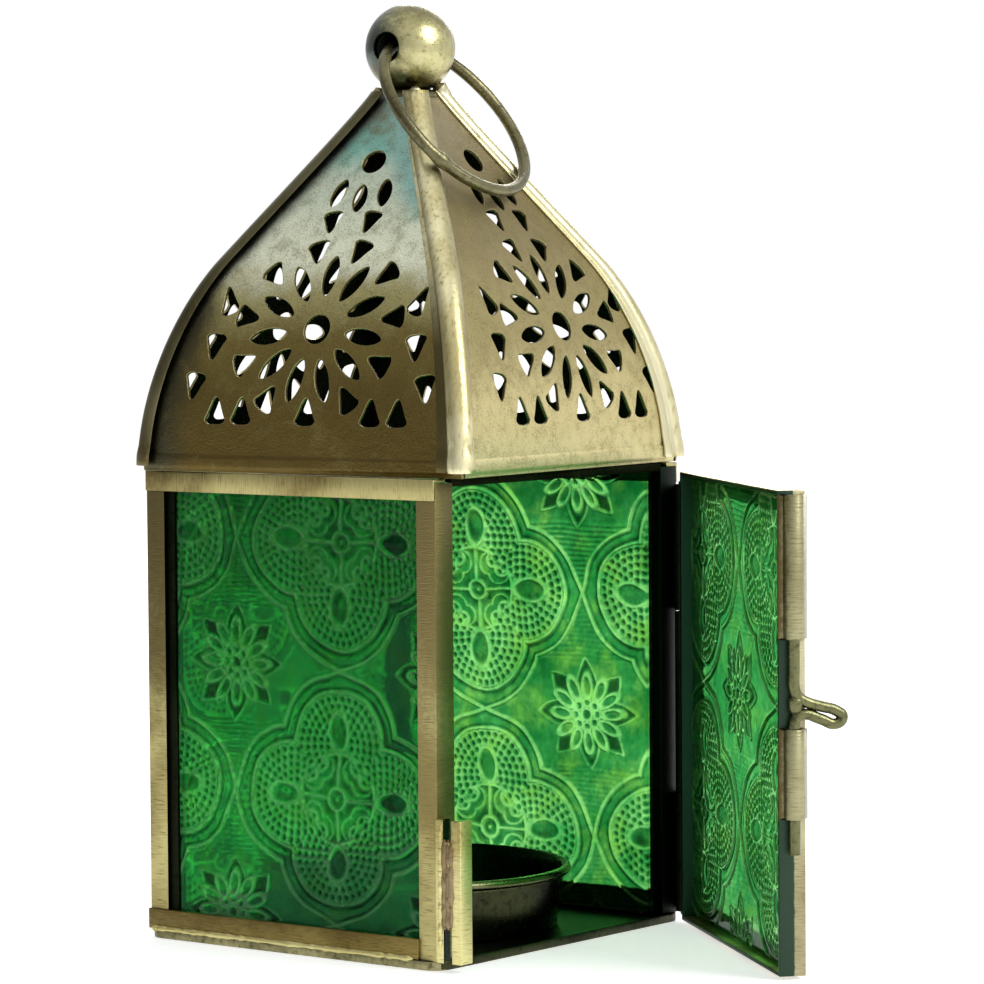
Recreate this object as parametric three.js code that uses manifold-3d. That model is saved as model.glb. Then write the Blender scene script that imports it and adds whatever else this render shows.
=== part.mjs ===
// Glazed tealight lantern in soldered brass: a square body of folded strips and textured
// green panes, an open hinged door with a sliding wire bolt, a pierced ogee roof of four
// panels with ribs over its hips, and a drilled ball on top that carries a loose ring.
// Millimetres. +Z is up, the door side faces -Y, and the origin is the middle of the
// underside. The door stands open, as it is photographed.

import * as THREE from "three";
import { mergeVertices } from "three/addons/utils/BufferGeometryUtils.js";
import Module from "manifold-3d";

const wasm = await Module();
wasm.setup();

// Body
const bodyWidth = 62;
const bodyDepth = 58;
const bodyTop = 73.9;
const sheet = 0.6;
const stripWidth = 3.6;
const jambWidth = 4.2;
const hingePostWidth = 5.4;
const railHeight = 3.2;
const railLap = 0.35;
const railLedge = 2.6;
const bottomRailHeight = 4;
const seatGap = 0.2;

// Tray under the body
const traySheet = 0.6;
const trayLipHeight = 1.4;
const trayLip = 0.5;
const trayClearance = 0.1;
const trayCorner = 3;

// Panes
const paneThickness = 2;
const paneClearance = 0.2;
const leftPaneShortfall = 1.8;
const rightPaneLap = 1;

// Candle cup
const cupRimRadius = 24.6;
const cupBottomRadius = 22.3;
const cupHeight = 10;
const cupWall = 0.5;
const cupRoll = 0.75;

// Roof
const roofInset = 0.1;
const roofOverhang = 1.1;
const roofSeat = 0.1;
const roofSheet = 0.6;
const roofTopHalf = 3.7;
const roofHeight = 59.3;
const roofTurn = 4.3;
const roofRows = 8;

// Bends of the roof outline, in shares of half its depth and of its height
const shoulderOut = 0.704;
const shoulderUp = 0.547;
const skirtUp = 0.195;
const bulgeOut = 0.87;
const bulgeUp = 0.412;
const waistOut = 0.508;
const waistUp = 0.698;
const neckOut = 0.179;
const neckUp = 0.942;

// Hem of the roof
const hemLift = 0.8;
const hemHeight = 1.8;
const hemThickness = 0.5;

// Ribs over the hips
const ribGap = 0.3;
const ribEdge = 0.35;
const ribCrown = 0.95;
const ribLegBottom = 4.4;
const ribLegTop = 2.6;
const ribShortLeg = 1.2;

// Piercing of each roof panel: its rosette in shares of the roof, the rest in star radii
const rosettePetals = 11;
const rosetteUp = 0.383;
const starOut = 0.458;
const rosetteHole = 0.174;
const petalMiddle = 0.652;
const petalLength = 0.507;
const petalWidth = 0.188;
const wedgeWidth = 0.283;
const wedgeHeight = 0.297;
const leafLength = 0.377;
const leafWidth = 0.181;
const crownHole = 0.152;
const crownHoleUp = 2.197;
const patternDrop = 0.95;
const frontSlip = 0.24;
const frontSkew = 0.05;
const leftSlip = 0.04;

// Ball and carrying ring
const ballRadius = 7.1;
const ballBore = 2.2;
const ballSeatGap = 0.25;
const ringRadius = 14.6;
const ringWire = 0.95;
const ringSlack = 0.8;
const ringGap = 0.3;

// Door
const doorOpen = 50;
const doorStandoff = 0.9;
const doorDepth = 4.1;
const doorBottom = 0.5;
const doorTopGap = 1.4;
const doorStrip = 3.4;
const doorLatchInset = 2.6;
const hingeInset = 0.7;
const hingeStandoff = 1.6;
const knuckleRadius = 1.2;
const knuckleWall = 0.45;
const knuckleGap = 0.2;
const knuckleLowUp = 0.285;
const knuckleHighUp = 0.69;
const hingeLeaf = 3;
const pinRadius = 0.5;
const hingeGap = 0.3;

// Latch; what ends in Up is a share of the door's height
const boltRadius = 0.85;
const boltStandoff = 1.3;
const boltFootUp = 0.254;
const boltHeadUp = 0.91;
const handleReach = 6.3;
const handleDroop = 2;
const handleUp = 0.5625;
const handleSpread = 1.05;
const sleeveClearance = 0.2;
const sleeveWall = 0.4;
const sleeveFoot = 0.8;
const sleeveHighFootUp = 0.696;
const sleeveHighHeadUp = 0.993;
const sleeveLowFootUp = 0.326;
const sleeveLowHeadUp = 0.5125;
const keeperUp = 0.3125;
const keeperWall = 0.6;
const keeperClearance = 0.4;
const keeperSlot = 1.5;
const keeperTopSlot = 3.3;
const keeperBottomSlot = 5.5;

const brass = (color, roughness) =>
  new THREE.MeshStandardMaterial({ color, roughness, metalness: 1 });
const strips = brass(0xb3a878, 0.38);
const dark = brass(0x5f5634, 0.5);
const roofing = brass(0x8c7c4c, 0.42);
const wire = brass(0x7d7452, 0.35);
const glassGreen = new THREE.MeshStandardMaterial({
  color: 0x1f8a45,
  roughness: 0.12,
  metalness: 0,
  transparent: true,
  opacity: 0.6,
});

// Solids

function solid(geometry) {
  const bare = geometry.index ? geometry.toNonIndexed() : geometry.clone();
  bare.deleteAttribute("normal");
  bare.deleteAttribute("uv");
  const merged = mergeVertices(bare, 1e-4);
  return new wasm.Manifold(
    new wasm.Mesh({
      numProp: 3,
      vertProperties: new Float32Array(merged.attributes.position.array),
      triVerts: new Uint32Array(merged.index.array),
    })
  );
}

function surface(shape) {
  const mesh = shape.getMesh();
  const geometry = new THREE.BufferGeometry();
  geometry.setAttribute("position", new THREE.BufferAttribute(mesh.vertProperties, 3));
  geometry.setIndex(new THREE.BufferAttribute(mesh.triVerts, 1));
  return geometry;
}

const joined = (shapes) => surface(shapes.map(solid).reduce((all, next) => all.add(next)));

function box(x0, x1, y0, y1, z0, z1) {
  const geometry = new THREE.BoxGeometry(x1 - x0, y1 - y0, z1 - z0);
  return geometry.translate((x0 + x1) / 2, (y0 + y1) / 2, (z0 + z1) / 2);
}

function prism(points, z0, z1) {
  const shape = new THREE.Shape(points.map(([x, y]) => new THREE.Vector2(x, y)));
  const geometry = new THREE.ExtrudeGeometry(shape, { depth: z1 - z0, bevelEnabled: false });
  return geometry.translate(0, 0, z0);
}

function roundedPlate(halfX, halfY, corner, z0, z1) {
  const points = [];
  const centres = [[1, 1], [-1, 1], [-1, -1], [1, -1]];
  centres.forEach(([sx, sy], quarter) => {
    for (let step = 0; step <= 5; step += 1) {
      const angle = ((quarter + step / 5) * Math.PI) / 2;
      const x = sx * (halfX - corner) + corner * Math.cos(angle);
      const y = sy * (halfY - corner) + corner * Math.sin(angle);
      points.push([x, y]);
    }
  });
  return prism(points, z0, z1);
}

function mesh(name, geometry, material) {
  const piece = new THREE.Mesh(geometry, material);
  piece.name = name;
  return piece;
}

// Places shared by several pieces

const halfX = bodyWidth / 2;
const halfY = bodyDepth / 2;
const doorTop = bodyTop - doorTopGap;
const upDoor = (share) => doorBottom + share * (doorTop - doorBottom);
const postTop = bodyTop - sheet;
const ledgeTop = traySheet + sheet;
const bottomRailTop = traySheet + bottomRailHeight;
const lantern = new THREE.Group();

// Tray: a floor with a low lip that the strips of the body stand inside

const lipInnerX = halfX + trayClearance;
const lipInnerY = halfY + trayClearance;
const trayOutside = roundedPlate(
  lipInnerX + trayLip, lipInnerY + trayLip, trayCorner, 0, trayLipHeight
);
const trayInside = box(-lipInnerX, lipInnerX, -lipInnerY, lipInnerY, traySheet, trayLipHeight + 1);
const cornerLip = trayCorner - trayLip;
const trayHollow = roundedPlate(lipInnerX, lipInnerY, cornerLip, traySheet, trayLipHeight + 1);
const trayFloor = solid(trayOutside).subtract(solid(trayHollow).intersect(solid(trayInside)));
lantern.add(mesh("base_plate", surface(trayFloor), dark));

// Posts: folded angles at the four corners, nipped off inside the tray's rounded corners

function post(name, sideX, sideY, alongX, alongY) {
  const x = (value) => sideX * (halfX - value);
  const y = (value) => sideY * (halfY - value);
  const section = [
    [x(0), y(0)], [x(alongX), y(0)], [x(alongX), y(sheet)],
    [x(sheet), y(sheet)], [x(sheet), y(alongY)], [x(0), y(alongY)],
  ];
  const turned = sideX * sideY > 0 ? section : section.reverse();
  const angle = solid(prism(turned, trayLipHeight, postTop));
  const foot = solid(prism(turned, traySheet, trayLipHeight + 0.5));
  const seat = roundedPlate(
    lipInnerX - seatGap, lipInnerY - seatGap, cornerLip, traySheet, trayLipHeight + 1
  );
  return mesh(name, surface(angle.add(foot.intersect(solid(seat)))), strips);
}
lantern.add(post("post_front_left", -1, -1, jambWidth, stripWidth));
lantern.add(post("post_front_right", 1, -1, jambWidth, hingePostWidth));
lantern.add(post("post_back_left", -1, 1, stripWidth, stripWidth));
lantern.add(post("post_back_right", 1, 1, stripWidth, stripWidth));

// Top rails lap over the posts on the glazed sides; the one over the door lies between them

for (const [name, side] of [["top_rail_left", -1], ["top_rail_right", 1]]) {
  const outer = side * (halfX + railLap);
  const inner = side * (halfX - railLedge);
  const face = side * halfX;
  const low = bodyTop - railHeight;
  const lap = box(Math.min(face, outer), Math.max(face, outer), -halfY, halfY, low, bodyTop);
  const ledge = box(
    Math.min(inner, outer), Math.max(inner, outer), -halfY, halfY, postTop, bodyTop
  );
  lantern.add(mesh(name, joined([lap, ledge]), strips));
}
{
  const low = bodyTop - railHeight;
  const ledgeEnd = halfX - railLedge;
  const lap = box(-halfX, halfX, halfY, halfY + railLap, low, bodyTop);
  const ledge = box(-ledgeEnd, ledgeEnd, halfY - railLedge, halfY + railLap, postTop, bodyTop);
  lantern.add(mesh("top_rail_back", joined([lap, ledge]), strips));
  const headerEnd = halfX - jambWidth;
  const header = box(-headerEnd, headerEnd, -halfY, -halfY + sheet, low, bodyTop);
  const shelf = box(-headerEnd, headerEnd, -halfY, -halfY + railLedge, postTop, bodyTop);
  lantern.add(mesh("top_rail_front", joined([header, shelf]), dark));
}

// Bottom rails lap over the back posts and stop at the front ones, with a ledge on the tray
// that the panes rest on

for (const [name, side, postLeg] of [
  ["bottom_rail_left", -1, stripWidth],
  ["bottom_rail_right", 1, hingePostWidth],
]) {
  const outer = side * (halfX + railLap);
  const face = side * halfX;
  const back = side * (halfX - sheet);
  const inner = side * (halfX - railLedge);
  const near = postLeg - halfY;
  const far = halfY - stripWidth;
  const low = traySheet;
  const lap = box(
    Math.min(face, outer), Math.max(face, outer), near, halfY + railLap,
    trayLipHeight, bottomRailTop
  );
  const web = box(Math.min(face, back), Math.max(face, back), near, far, low, bottomRailTop);
  const ledge = box(Math.min(face, inner), Math.max(face, inner), near, far, low, ledgeTop);
  lantern.add(mesh(name, joined([web, ledge, lap]), strips));
}
{
  const end = halfX - stripWidth;
  const low = traySheet;
  const web = box(-end, end, halfY - sheet, halfY, low, bottomRailTop);
  const ledge = box(-end, end, halfY - railLedge, halfY, low, ledgeTop);
  const lap = box(-halfX, halfX, halfY, halfY + railLap, trayLipHeight, bottomRailTop);
  lantern.add(mesh("bottom_rail_back", joined([web, ledge, lap]), strips));
}

// Panes lie behind the strips; the left one was cut short at its back edge

const paneLow = ledgeTop;
const paneHigh = postTop - paneClearance;
const paneFace = halfX - sheet;
const paneBack = paneFace - paneThickness;
const leftFront = sheet + paneClearance - halfY;
const rightFront = hingePostWidth - rightPaneLap - halfY;
const sideBack = halfY - sheet - paneClearance;
const leftBack = halfY - stripWidth - leftPaneShortfall;
const backEnd = paneBack - paneClearance;
const rearFace = halfY - sheet;
lantern.add(
  mesh("glass_left", box(-paneFace, -paneBack, leftFront, leftBack, paneLow, paneHigh), glassGreen),
  mesh("glass_right", box(paneBack, paneFace, rightFront, sideBack, paneLow, paneHigh), glassGreen),
  mesh(
    "glass_back",
    box(-backEnd, backEnd, rearFace - paneThickness, rearFace, paneLow, paneHigh),
    glassGreen
  )
);

// Candle cup: spun from sheet, its rim rolled outwards

const cupLow = traySheet;
const rimHeight = cupLow + cupHeight - cupRoll;
const rimMiddle = cupRimRadius - cupRoll;
const cupSection = [
  [0, cupLow],
  [cupBottomRadius - 1.2, cupLow],
  [cupBottomRadius - 0.35, cupLow + 0.35],
  [cupBottomRadius, cupLow + 1.2],
];
for (let step = 0; step <= 7; step += 1) {
  const angle = (-0.5 + (step / 7) * 1.5) * Math.PI;
  cupSection.push([
    rimMiddle + cupRoll * Math.cos(angle),
    rimHeight + cupRoll * Math.sin(angle),
  ]);
}
cupSection.push(
  [cupBottomRadius - cupWall, cupLow + 1.4],
  [cupBottomRadius - 1.4, cupLow + cupWall],
  [0, cupLow + cupWall]
);
const cupPoints = cupSection.map(([r, z]) => new THREE.Vector2(r, z));
const cup = new THREE.LatheGeometry(cupPoints, 36).rotateX(Math.PI / 2);
lantern.add(mesh("tealight_cup", surface(solid(cup)), dark));

// Roof outline: a near-upright skirt that bulges over the shoulder and runs straight to the neck.
// The whole roof sits a little turned on the body, as it was soldered on by hand.

const roof = new THREE.Group();
roof.rotation.z = THREE.MathUtils.degToRad(roofTurn);
lantern.add(roof);
const roofBase = bodyTop + roofSeat;
const baseHalf = halfY + roofOverhang;
const spread = (halfX - roofInset - roofTopHalf) / (baseHalf - roofTopHalf);
const shares = (out, up) => new THREE.Vector2(out * baseHalf, up * roofHeight);
const shoulder = shares(shoulderOut, shoulderUp);
const skirt = new THREE.CubicBezierCurve(
  shares(1, 0), shares(1, skirtUp), shares(bulgeOut, bulgeUp), shoulder
);
const neck = new THREE.CubicBezierCurve(
  shoulder, shares(waistOut, waistUp), shares(neckOut, neckUp),
  new THREE.Vector2(roofTopHalf, roofHeight)
);
const outline = [...skirt.getPoints(roofRows), ...neck.getPoints(roofRows - 2).slice(1)];
const wider = (half) => roofTopHalf + (half - roofTopHalf) * spread;

// A strip of roof whose level cross-section at each height is the given ring of points
function loft(rings) {
  const count = rings[0].length;
  const positions = rings.flat(2);
  const index = [];
  for (let row = 0; row + 1 < rings.length; row += 1) {
    for (let step = 0; step < count; step += 1) {
      const a = row * count + step;
      const b = row * count + ((step + 1) % count);
      index.push(a, b, b + count, a, b + count, a + count);
    }
  }
  const flat = rings[0].map(([x, y]) => new THREE.Vector2(x, y));
  for (const [a, b, c] of THREE.ShapeUtils.triangulateShape(flat, [])) {
    const last = (rings.length - 1) * count;
    index.push(a, c, b, last + a, last + b, last + c);
  }
  const geometry = new THREE.BufferGeometry();
  geometry.setAttribute("position", new THREE.Float32BufferAttribute(positions, 3));
  geometry.setIndex(index);
  return geometry;
}

// Holes in a panel, each an outline around [across, up the slope] with a turn

function leafOutline(length, width) {
  const points = [];
  for (let step = 0; step < 8; step += 1) {
    const angle = (step / 8) * 2 * Math.PI;
    const squeeze = 1 - 0.22 * Math.abs(Math.cos(angle));
    points.push([(width / 2) * Math.sin(angle) * squeeze, (length / 2) * Math.cos(angle)]);
  }
  return points.reverse();
}

// A rounded wedge whose narrow end points along +v before it is turned
function wedgeOutline(width, height) {
  const w = width / 2;
  const h = height / 2;
  return [
    [0.16 * w, h], [-0.16 * w, h], [-0.75 * w, -0.3 * h], [-w, -0.72 * h],
    [-0.62 * w, -h], [0.62 * w, -h], [w, -0.72 * h], [0.75 * w, -0.3 * h],
  ];
}

function roundOutline(radius) {
  const points = [];
  for (let step = 0; step < 12; step += 1) {
    const angle = (step / 12) * 2 * Math.PI;
    points.push([radius * Math.cos(angle), radius * Math.sin(angle)]);
  }
  return points;
}

// Holes of one panel, slipped sideways and skewed by hand, a little closer below the rosette
function piercing(slip, skew) {
  const star = starOut * baseHalf;
  const middle = rosetteUp * roofHeight;
  const leafOf = (length, width) => leafOutline(length * star, width * star);
  const wedgeOf = (width, height) =>
    wedgeOutline(width * wedgeWidth * star, height * wedgeHeight * star);
  const at = (u, v, turn, shape) => ({
    u: (u + slip - skew * v) * star,
    v: middle + (v < 0 ? patternDrop : 1) * v * star,
    turn,
    outline: shape,
  });
  const petal = leafOf(petalLength, petalWidth);
  const wedge = wedgeOf(1, 1);
  const leaf = leafOf(leafLength, leafWidth);
  const holes = [
    at(0, 0, 0, roundOutline(rosetteHole * star)),
    at(0, crownHoleUp, 0, roundOutline(crownHole * star)),
    at(0, 1.696, 0.12, leaf),
  ];
  for (let count = 0; count < rosettePetals; count += 1) {
    const turn = (count / rosettePetals) * 2 * Math.PI;
    const between = turn + Math.PI / rosettePetals;
    holes.push(
      at(-petalMiddle * Math.sin(turn), petalMiddle * Math.cos(turn), turn, petal),
      at(-Math.sin(between), Math.cos(between), between + Math.PI, wedge)
    );
  }
  for (const side of [-1, 1]) {
    const filler = (u, v, turn, shape) => holes.push(at(side * u, v, side * turn, shape));
    filler(1.304, 0.341, -0.35, wedgeOf(0.85, 1.15));
    filler(1.377, -0.225, Math.PI + 0.1, wedge);
    filler(1.58, -0.71, Math.PI + 0.15, wedge);
    filler(1.246, -1, 0, wedge);
    filler(0.884, -1, 0, wedge);
    filler(0.261, 1.37, Math.PI - 0.15, wedgeOf(0.9, 0.95));
    filler(0.312, 1.768, 0.18, leaf);
  }
  return holes;
}

// Where a slope length up the panel lies on the outline, and which way the sheet faces there
function onSlope(points, length) {
  let left = length;
  for (let row = 0; row + 1 < points.length; row += 1) {
    const step = points[row + 1].clone().sub(points[row]);
    if (left <= step.length() || row + 2 === points.length) {
      const place = points[row].clone().add(step.clone().setLength(left));
      return { place, lean: Math.atan2(-step.x, step.y) };
    }
    left -= step.length();
  }
  return null;
}

function cutter(hole, points) {
  const { place, lean } = onSlope(points, hole.v);
  const shape = new THREE.Shape(hole.outline.map(([x, y]) => new THREE.Vector2(x, y)));
  const depth = 4 * roofSheet;
  const geometry = new THREE.ExtrudeGeometry(shape, { depth, bevelEnabled: false });
  geometry.translate(0, 0, -depth / 2);
  geometry.rotateZ(hole.turn);
  geometry.rotateX(Math.PI / 2 - lean);
  return geometry.translate(hole.u, -place.x + roofSheet / 2, roofBase + place.y);
}

// A panel of the front: half its width and its distance out at each height of the outline
const onSkirt = (height, hem) => ({ x: baseHalf, y: height, hem });
const hemRows = [
  onSkirt(hemLift, hemThickness),
  onSkirt(hemLift + hemHeight, hemThickness),
  onSkirt(hemLift + hemHeight + 0.05, 0),
];
const aboveHem = outline.slice(1).map((point) => ({ x: point.x, y: point.y, hem: 0 }));
function panel(widthOf, outOf, endGap, slip, skew) {
  const foot = [onSkirt(0, 0), onSkirt(hemLift - 0.05, 0)];
  const rows = [...foot, ...hemRows, ...aboveHem];
  const rings = rows.map((point) => {
    const hem = point.hem;
    const out = outOf(point.x);
    const wide = widthOf(point.x) - endGap;
    const z = roofBase + point.y;
    return [
      [-wide, -out - hem, z], [wide, -out - hem, z],
      [wide, -out + roofSheet, z], [-wide, -out + roofSheet, z],
    ];
  });
  const slope = outline.map((point) => new THREE.Vector2(outOf(point.x), point.y));
  let sheetMetal = solid(loft(rings));
  const holes = piercing(slip, skew).map((hole) => solid(cutter(hole, slope)));
  sheetMetal = sheetMetal.subtract(holes.reduce((all, next) => all.add(next)));
  return surface(sheetMetal);
}

const same = (half) => half;
const frontEnd = roofSheet + ribGap;
const panels = [
  ["roof_panel_front", panel(wider, same, frontEnd, frontSlip, frontSkew), 0],
  ["roof_panel_right", panel(same, wider, 0, 0, 0), 1],
  ["roof_panel_back", panel(wider, same, frontEnd, 0, 0), 2],
  ["roof_panel_left", panel(same, wider, 0, leftSlip, 0), 3],
];
for (const [name, geometry, quarter] of panels) {
  roof.add(mesh(name, geometry.rotateZ((quarter * Math.PI) / 2), roofing));
}

// Hip ribs: folded strips with a rounded crown, bent to the outline over each corner. Each
// has a broad leg on one panel and a short one on the next, the same way round the roof.

const crownAt = (point) => ribGap + ribCrown + 0.6 * hemThickness * (1 - point.y / roofHeight);
function rib(sideX, sideY) {
  const rings = [];
  const rows = [...hemRows, ...aboveHem];
  rows.forEach((point, row) => {
    const share = point.y / roofHeight;
    const broad = ribLegBottom + (ribLegTop - ribLegBottom) * share;
    const a = sideX * sideY < 0 ? broad : ribShortLeg;
    const b = sideX * sideY < 0 ? ribShortLeg : broad;
    const g = ribGap + point.hem;
    const crown = crownAt(point);
    const round = 0.62 * crown;
    const section = [
      [-a, g], [g, g], [g, -b], [g + ribEdge, -b], [0.9 * crown, -0.5 * b],
      [crown, -0.22 * b], [crown * 0.97, round * 0.2], [round * 0.95, round * 0.95],
      [round * 0.2, crown * 0.97], [-0.22 * a, crown], [-0.5 * a, 0.9 * crown],
      [-a, g + ribEdge],
    ];
    const z = roofBase + point.y + (row === 2 ? ribGap : 0);
    const ring = section.map(([p, q]) => [
      sideX * (wider(point.x) + p), sideY * (point.x + q), z,
    ]);
    rings.push(sideX * sideY > 0 ? ring : ring.reverse());
  });
  return loft(rings);
}
roof.add(
  mesh("hip_rib_front_left", rib(-1, -1), strips),
  mesh("hip_rib_front_right", rib(1, -1), strips),
  mesh("hip_rib_back_left", rib(-1, 1), strips),
  mesh("hip_rib_back_right", rib(1, 1), strips)
);

// Ball: sits in the open neck and is drilled from side to side for the ring

const neckHalf = roofTopHalf - roofSheet;
const ballLift = Math.sqrt((ballRadius + ballSeatGap) ** 2 - neckHalf ** 2);
const ballHeight = roofBase + roofHeight + ballLift;
const sphere = new THREE.SphereGeometry(ballRadius, 24, 14).rotateX(Math.PI / 2);
const drill = new THREE.CylinderGeometry(ballBore, ballBore, 3 * ballRadius, 20).rotateZ(Math.PI / 2);
const ball = surface(solid(sphere).subtract(solid(drill))).translate(0, 0, ballHeight);
roof.add(mesh("ball_finial", ball, wire));

// Carrying ring: loose in the ball, lying down until it all but touches the ribs in front

const ringWay = 2 * ringRadius - ringSlack;
const ringWidthAt = (way) => {
  const past = way - (ringRadius - ringSlack);
  return Math.sqrt(Math.max(ringRadius ** 2 - past ** 2, 0));
};
const alongRib = outline.slice(1).flatMap((end, row) =>
  [0, 0.25, 0.5, 0.75].map((share) => outline[row].clone().lerp(end, share))
);
const ringLean = alongRib.reduce((least, point) => {
  const out = point.x + crownAt(point);
  const drop = ballHeight - roofBase - point.y;
  const way = Math.hypot(out, drop);
  const beside = ringWidthAt(way) - ringWire > wider(point.x) + crownAt(point);
  if (way > ringWay + ringWire || beside) return least;
  const lean = Math.atan2(drop, out) - Math.asin((ringWire + ringGap) / way);
  return Math.min(least, lean);
}, Math.PI / 2);
const ringSwing = new THREE.Group();
ringSwing.position.set(0, 0, ballHeight);
ringSwing.rotation.x = ringLean;
const torus = new THREE.TorusGeometry(ringRadius, ringWire, 8, 44);
torus.translate(0, -(ringRadius - ringSlack), 0);
ringSwing.add(mesh("carrying_ring", torus, wire));
roof.add(ringSwing);

// Hinge: rolled strips and a wire pin; two rolls belong to the corner post, one to the door

const hingeX = halfX - hingeInset;
const hingeY = -(halfY + hingeStandoff);
const boreRadius = knuckleRadius - knuckleWall;

function roll(z0, z1) {
  const outer = new THREE.CylinderGeometry(knuckleRadius, knuckleRadius, z1 - z0, 14);
  return outer.rotateX(Math.PI / 2).translate(0, 0, (z0 + z1) / 2);
}

function pinBore(z0, z1) {
  const inner = new THREE.CylinderGeometry(boreRadius, boreRadius, z1 - z0 + 2, 12);
  return inner.rotateX(Math.PI / 2).translate(0, 0, (z0 + z1) / 2);
}

function bodyKnuckle(name, z0, z1) {
  const leafX = halfX + seatGap - hingeX;
  const far = hingeStandoff + hingeLeaf;
  const leaf = box(leafX, leafX + knuckleWall, 0, far, z0, z1);
  const bridge = box(
    knuckleRadius - knuckleWall, leafX + knuckleWall, -0.3, knuckleWall * 0.6, z0, z1
  );
  const shape = solid(roll(z0, z1)).add(solid(bridge)).add(solid(leaf));
  const piece = mesh(name, surface(shape.subtract(solid(pinBore(z0, z1)))), strips);
  piece.position.set(hingeX, hingeY, 0);
  return piece;
}
const hingeFoot = trayLipHeight + hingeGap;
const middleLow = upDoor(knuckleLowUp) + knuckleGap / 2;
const middleHigh = upDoor(knuckleHighUp) - knuckleGap / 2;
const hingeHead = bodyTop - railHeight - hingeGap;
lantern.add(
  bodyKnuckle("hinge_knuckle_lower", hingeFoot, middleLow - knuckleGap),
  bodyKnuckle("hinge_knuckle_upper", middleHigh + knuckleGap, hingeHead)
);
const pinLength = hingeHead - hingeFoot + 1.2;
const pin = new THREE.CylinderGeometry(pinRadius, pinRadius, pinLength, 12).rotateX(Math.PI / 2);
pin.translate(hingeX, hingeY, (hingeHead + hingeFoot) / 2);
lantern.add(mesh("hinge_pin", pin, wire));

// Door: modelled shut, about its hinge line, and swung open

const swing = new THREE.Group();
swing.position.set(hingeX, hingeY, 0);
swing.rotation.z = THREE.MathUtils.degToRad(doorOpen);
const doorRight = -(knuckleRadius + hingeGap);
const doorLeft = -halfX + doorLatchInset - hingeX;
const doorInner = -(halfY + doorStandoff) - hingeY;
const doorOuter = doorInner - doorDepth;
const strapFace = doorOuter + sheet;

function stile(name, edge, side) {
  const flange = box(
    Math.min(edge, edge + side * sheet), Math.max(edge, edge + side * sheet),
    doorOuter, doorInner, doorBottom, doorTop
  );
  const face = box(
    Math.min(edge, edge + side * doorStrip), Math.max(edge, edge + side * doorStrip),
    doorOuter, strapFace, doorBottom, doorTop
  );
  return mesh(name, joined([flange, face]), strips);
}
swing.add(stile("door_stile_hinge", doorRight, -1));
swing.add(stile("door_stile_latch", doorLeft, 1));

function crossRail(name, edge, side) {
  const inset = sheet + seatGap;
  const strap = doorStrip + seatGap;
  const flange = box(
    doorLeft + inset, doorRight - inset, strapFace + seatGap, doorInner,
    Math.min(edge, edge + side * sheet), Math.max(edge, edge + side * sheet)
  );
  const step = box(
    doorLeft + strap, doorRight - strap, doorOuter, strapFace + 2 * seatGap,
    Math.min(edge, edge + side * sheet), Math.max(edge, edge + side * sheet)
  );
  const face = box(
    doorLeft + strap, doorRight - strap, doorOuter, strapFace,
    Math.min(edge, edge + side * doorStrip), Math.max(edge, edge + side * doorStrip)
  );
  return mesh(name, joined([flange, step, face]), strips);
}
swing.add(crossRail("door_rail_top", doorTop, -1));
swing.add(crossRail("door_rail_bottom", doorBottom, 1));

const doorPaneGap = sheet + seatGap + paneClearance;
swing.add(
  mesh(
    "door_glass",
    box(
      doorLeft + doorPaneGap, doorRight - doorPaneGap,
      strapFace + seatGap, strapFace + seatGap + paneThickness,
      doorBottom + doorPaneGap, doorTop - doorPaneGap
    ),
    glassGreen
  )
);

const strapLeaf = box(
  doorRight + seatGap, doorRight + seatGap + knuckleWall,
  doorInner - hingeLeaf, 0, middleLow, middleHigh
);
const doorRoll = solid(roll(middleLow, middleHigh)).add(solid(strapLeaf));
const doorKnuckle = surface(doorRoll.subtract(solid(pinBore(middleLow, middleHigh))));
swing.add(mesh("door_knuckle", doorKnuckle, strips));

// Bolt: one wire that runs through two sleeves and loops out as a handle between them

const boltX = doorLeft - boltStandoff;
const boltY = (doorInner + doorOuter) / 2;
const handleRoot = upDoor(handleUp);
const boltHead = upDoor(boltHeadUp);
const boltFoot = upDoor(boltFootUp);
const upper = handleRoot + handleSpread;
const lower = handleRoot - handleSpread;
const tip = boltY - handleReach;
const bend = 1.6;
const route = new THREE.CurvePath();
const at = (y, z) => new THREE.Vector3(boltX, y, z);
const turn = (a, b, c) => route.add(new THREE.QuadraticBezierCurve3(a, b, c));
const run = (a, b) => route.add(new THREE.LineCurve3(a, b));
const slope = handleDroop / handleReach;
run(at(boltY, boltHead), at(boltY, upper + bend));
turn(at(boltY, upper + bend), at(boltY, upper), at(boltY - bend, upper - bend * slope));
run(at(boltY - bend, upper - bend * slope), at(tip, upper - handleDroop));
for (let step = 0; step < 4; step += 1) {
  const from = (step / 4) * Math.PI;
  const to = ((step + 1) / 4) * Math.PI;
  const middle = handleRoot - handleDroop;
  const low = (angle) => at(
    tip - handleSpread * Math.sin(angle), middle + handleSpread * Math.cos(angle)
  );
  run(low(from), low(to));
}
run(at(tip, lower - handleDroop), at(boltY - bend, lower - bend * slope));
turn(at(boltY - bend, lower - bend * slope), at(boltY, lower), at(boltY, lower - bend));
run(at(boltY, lower - bend), at(boltY, boltFoot));

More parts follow.
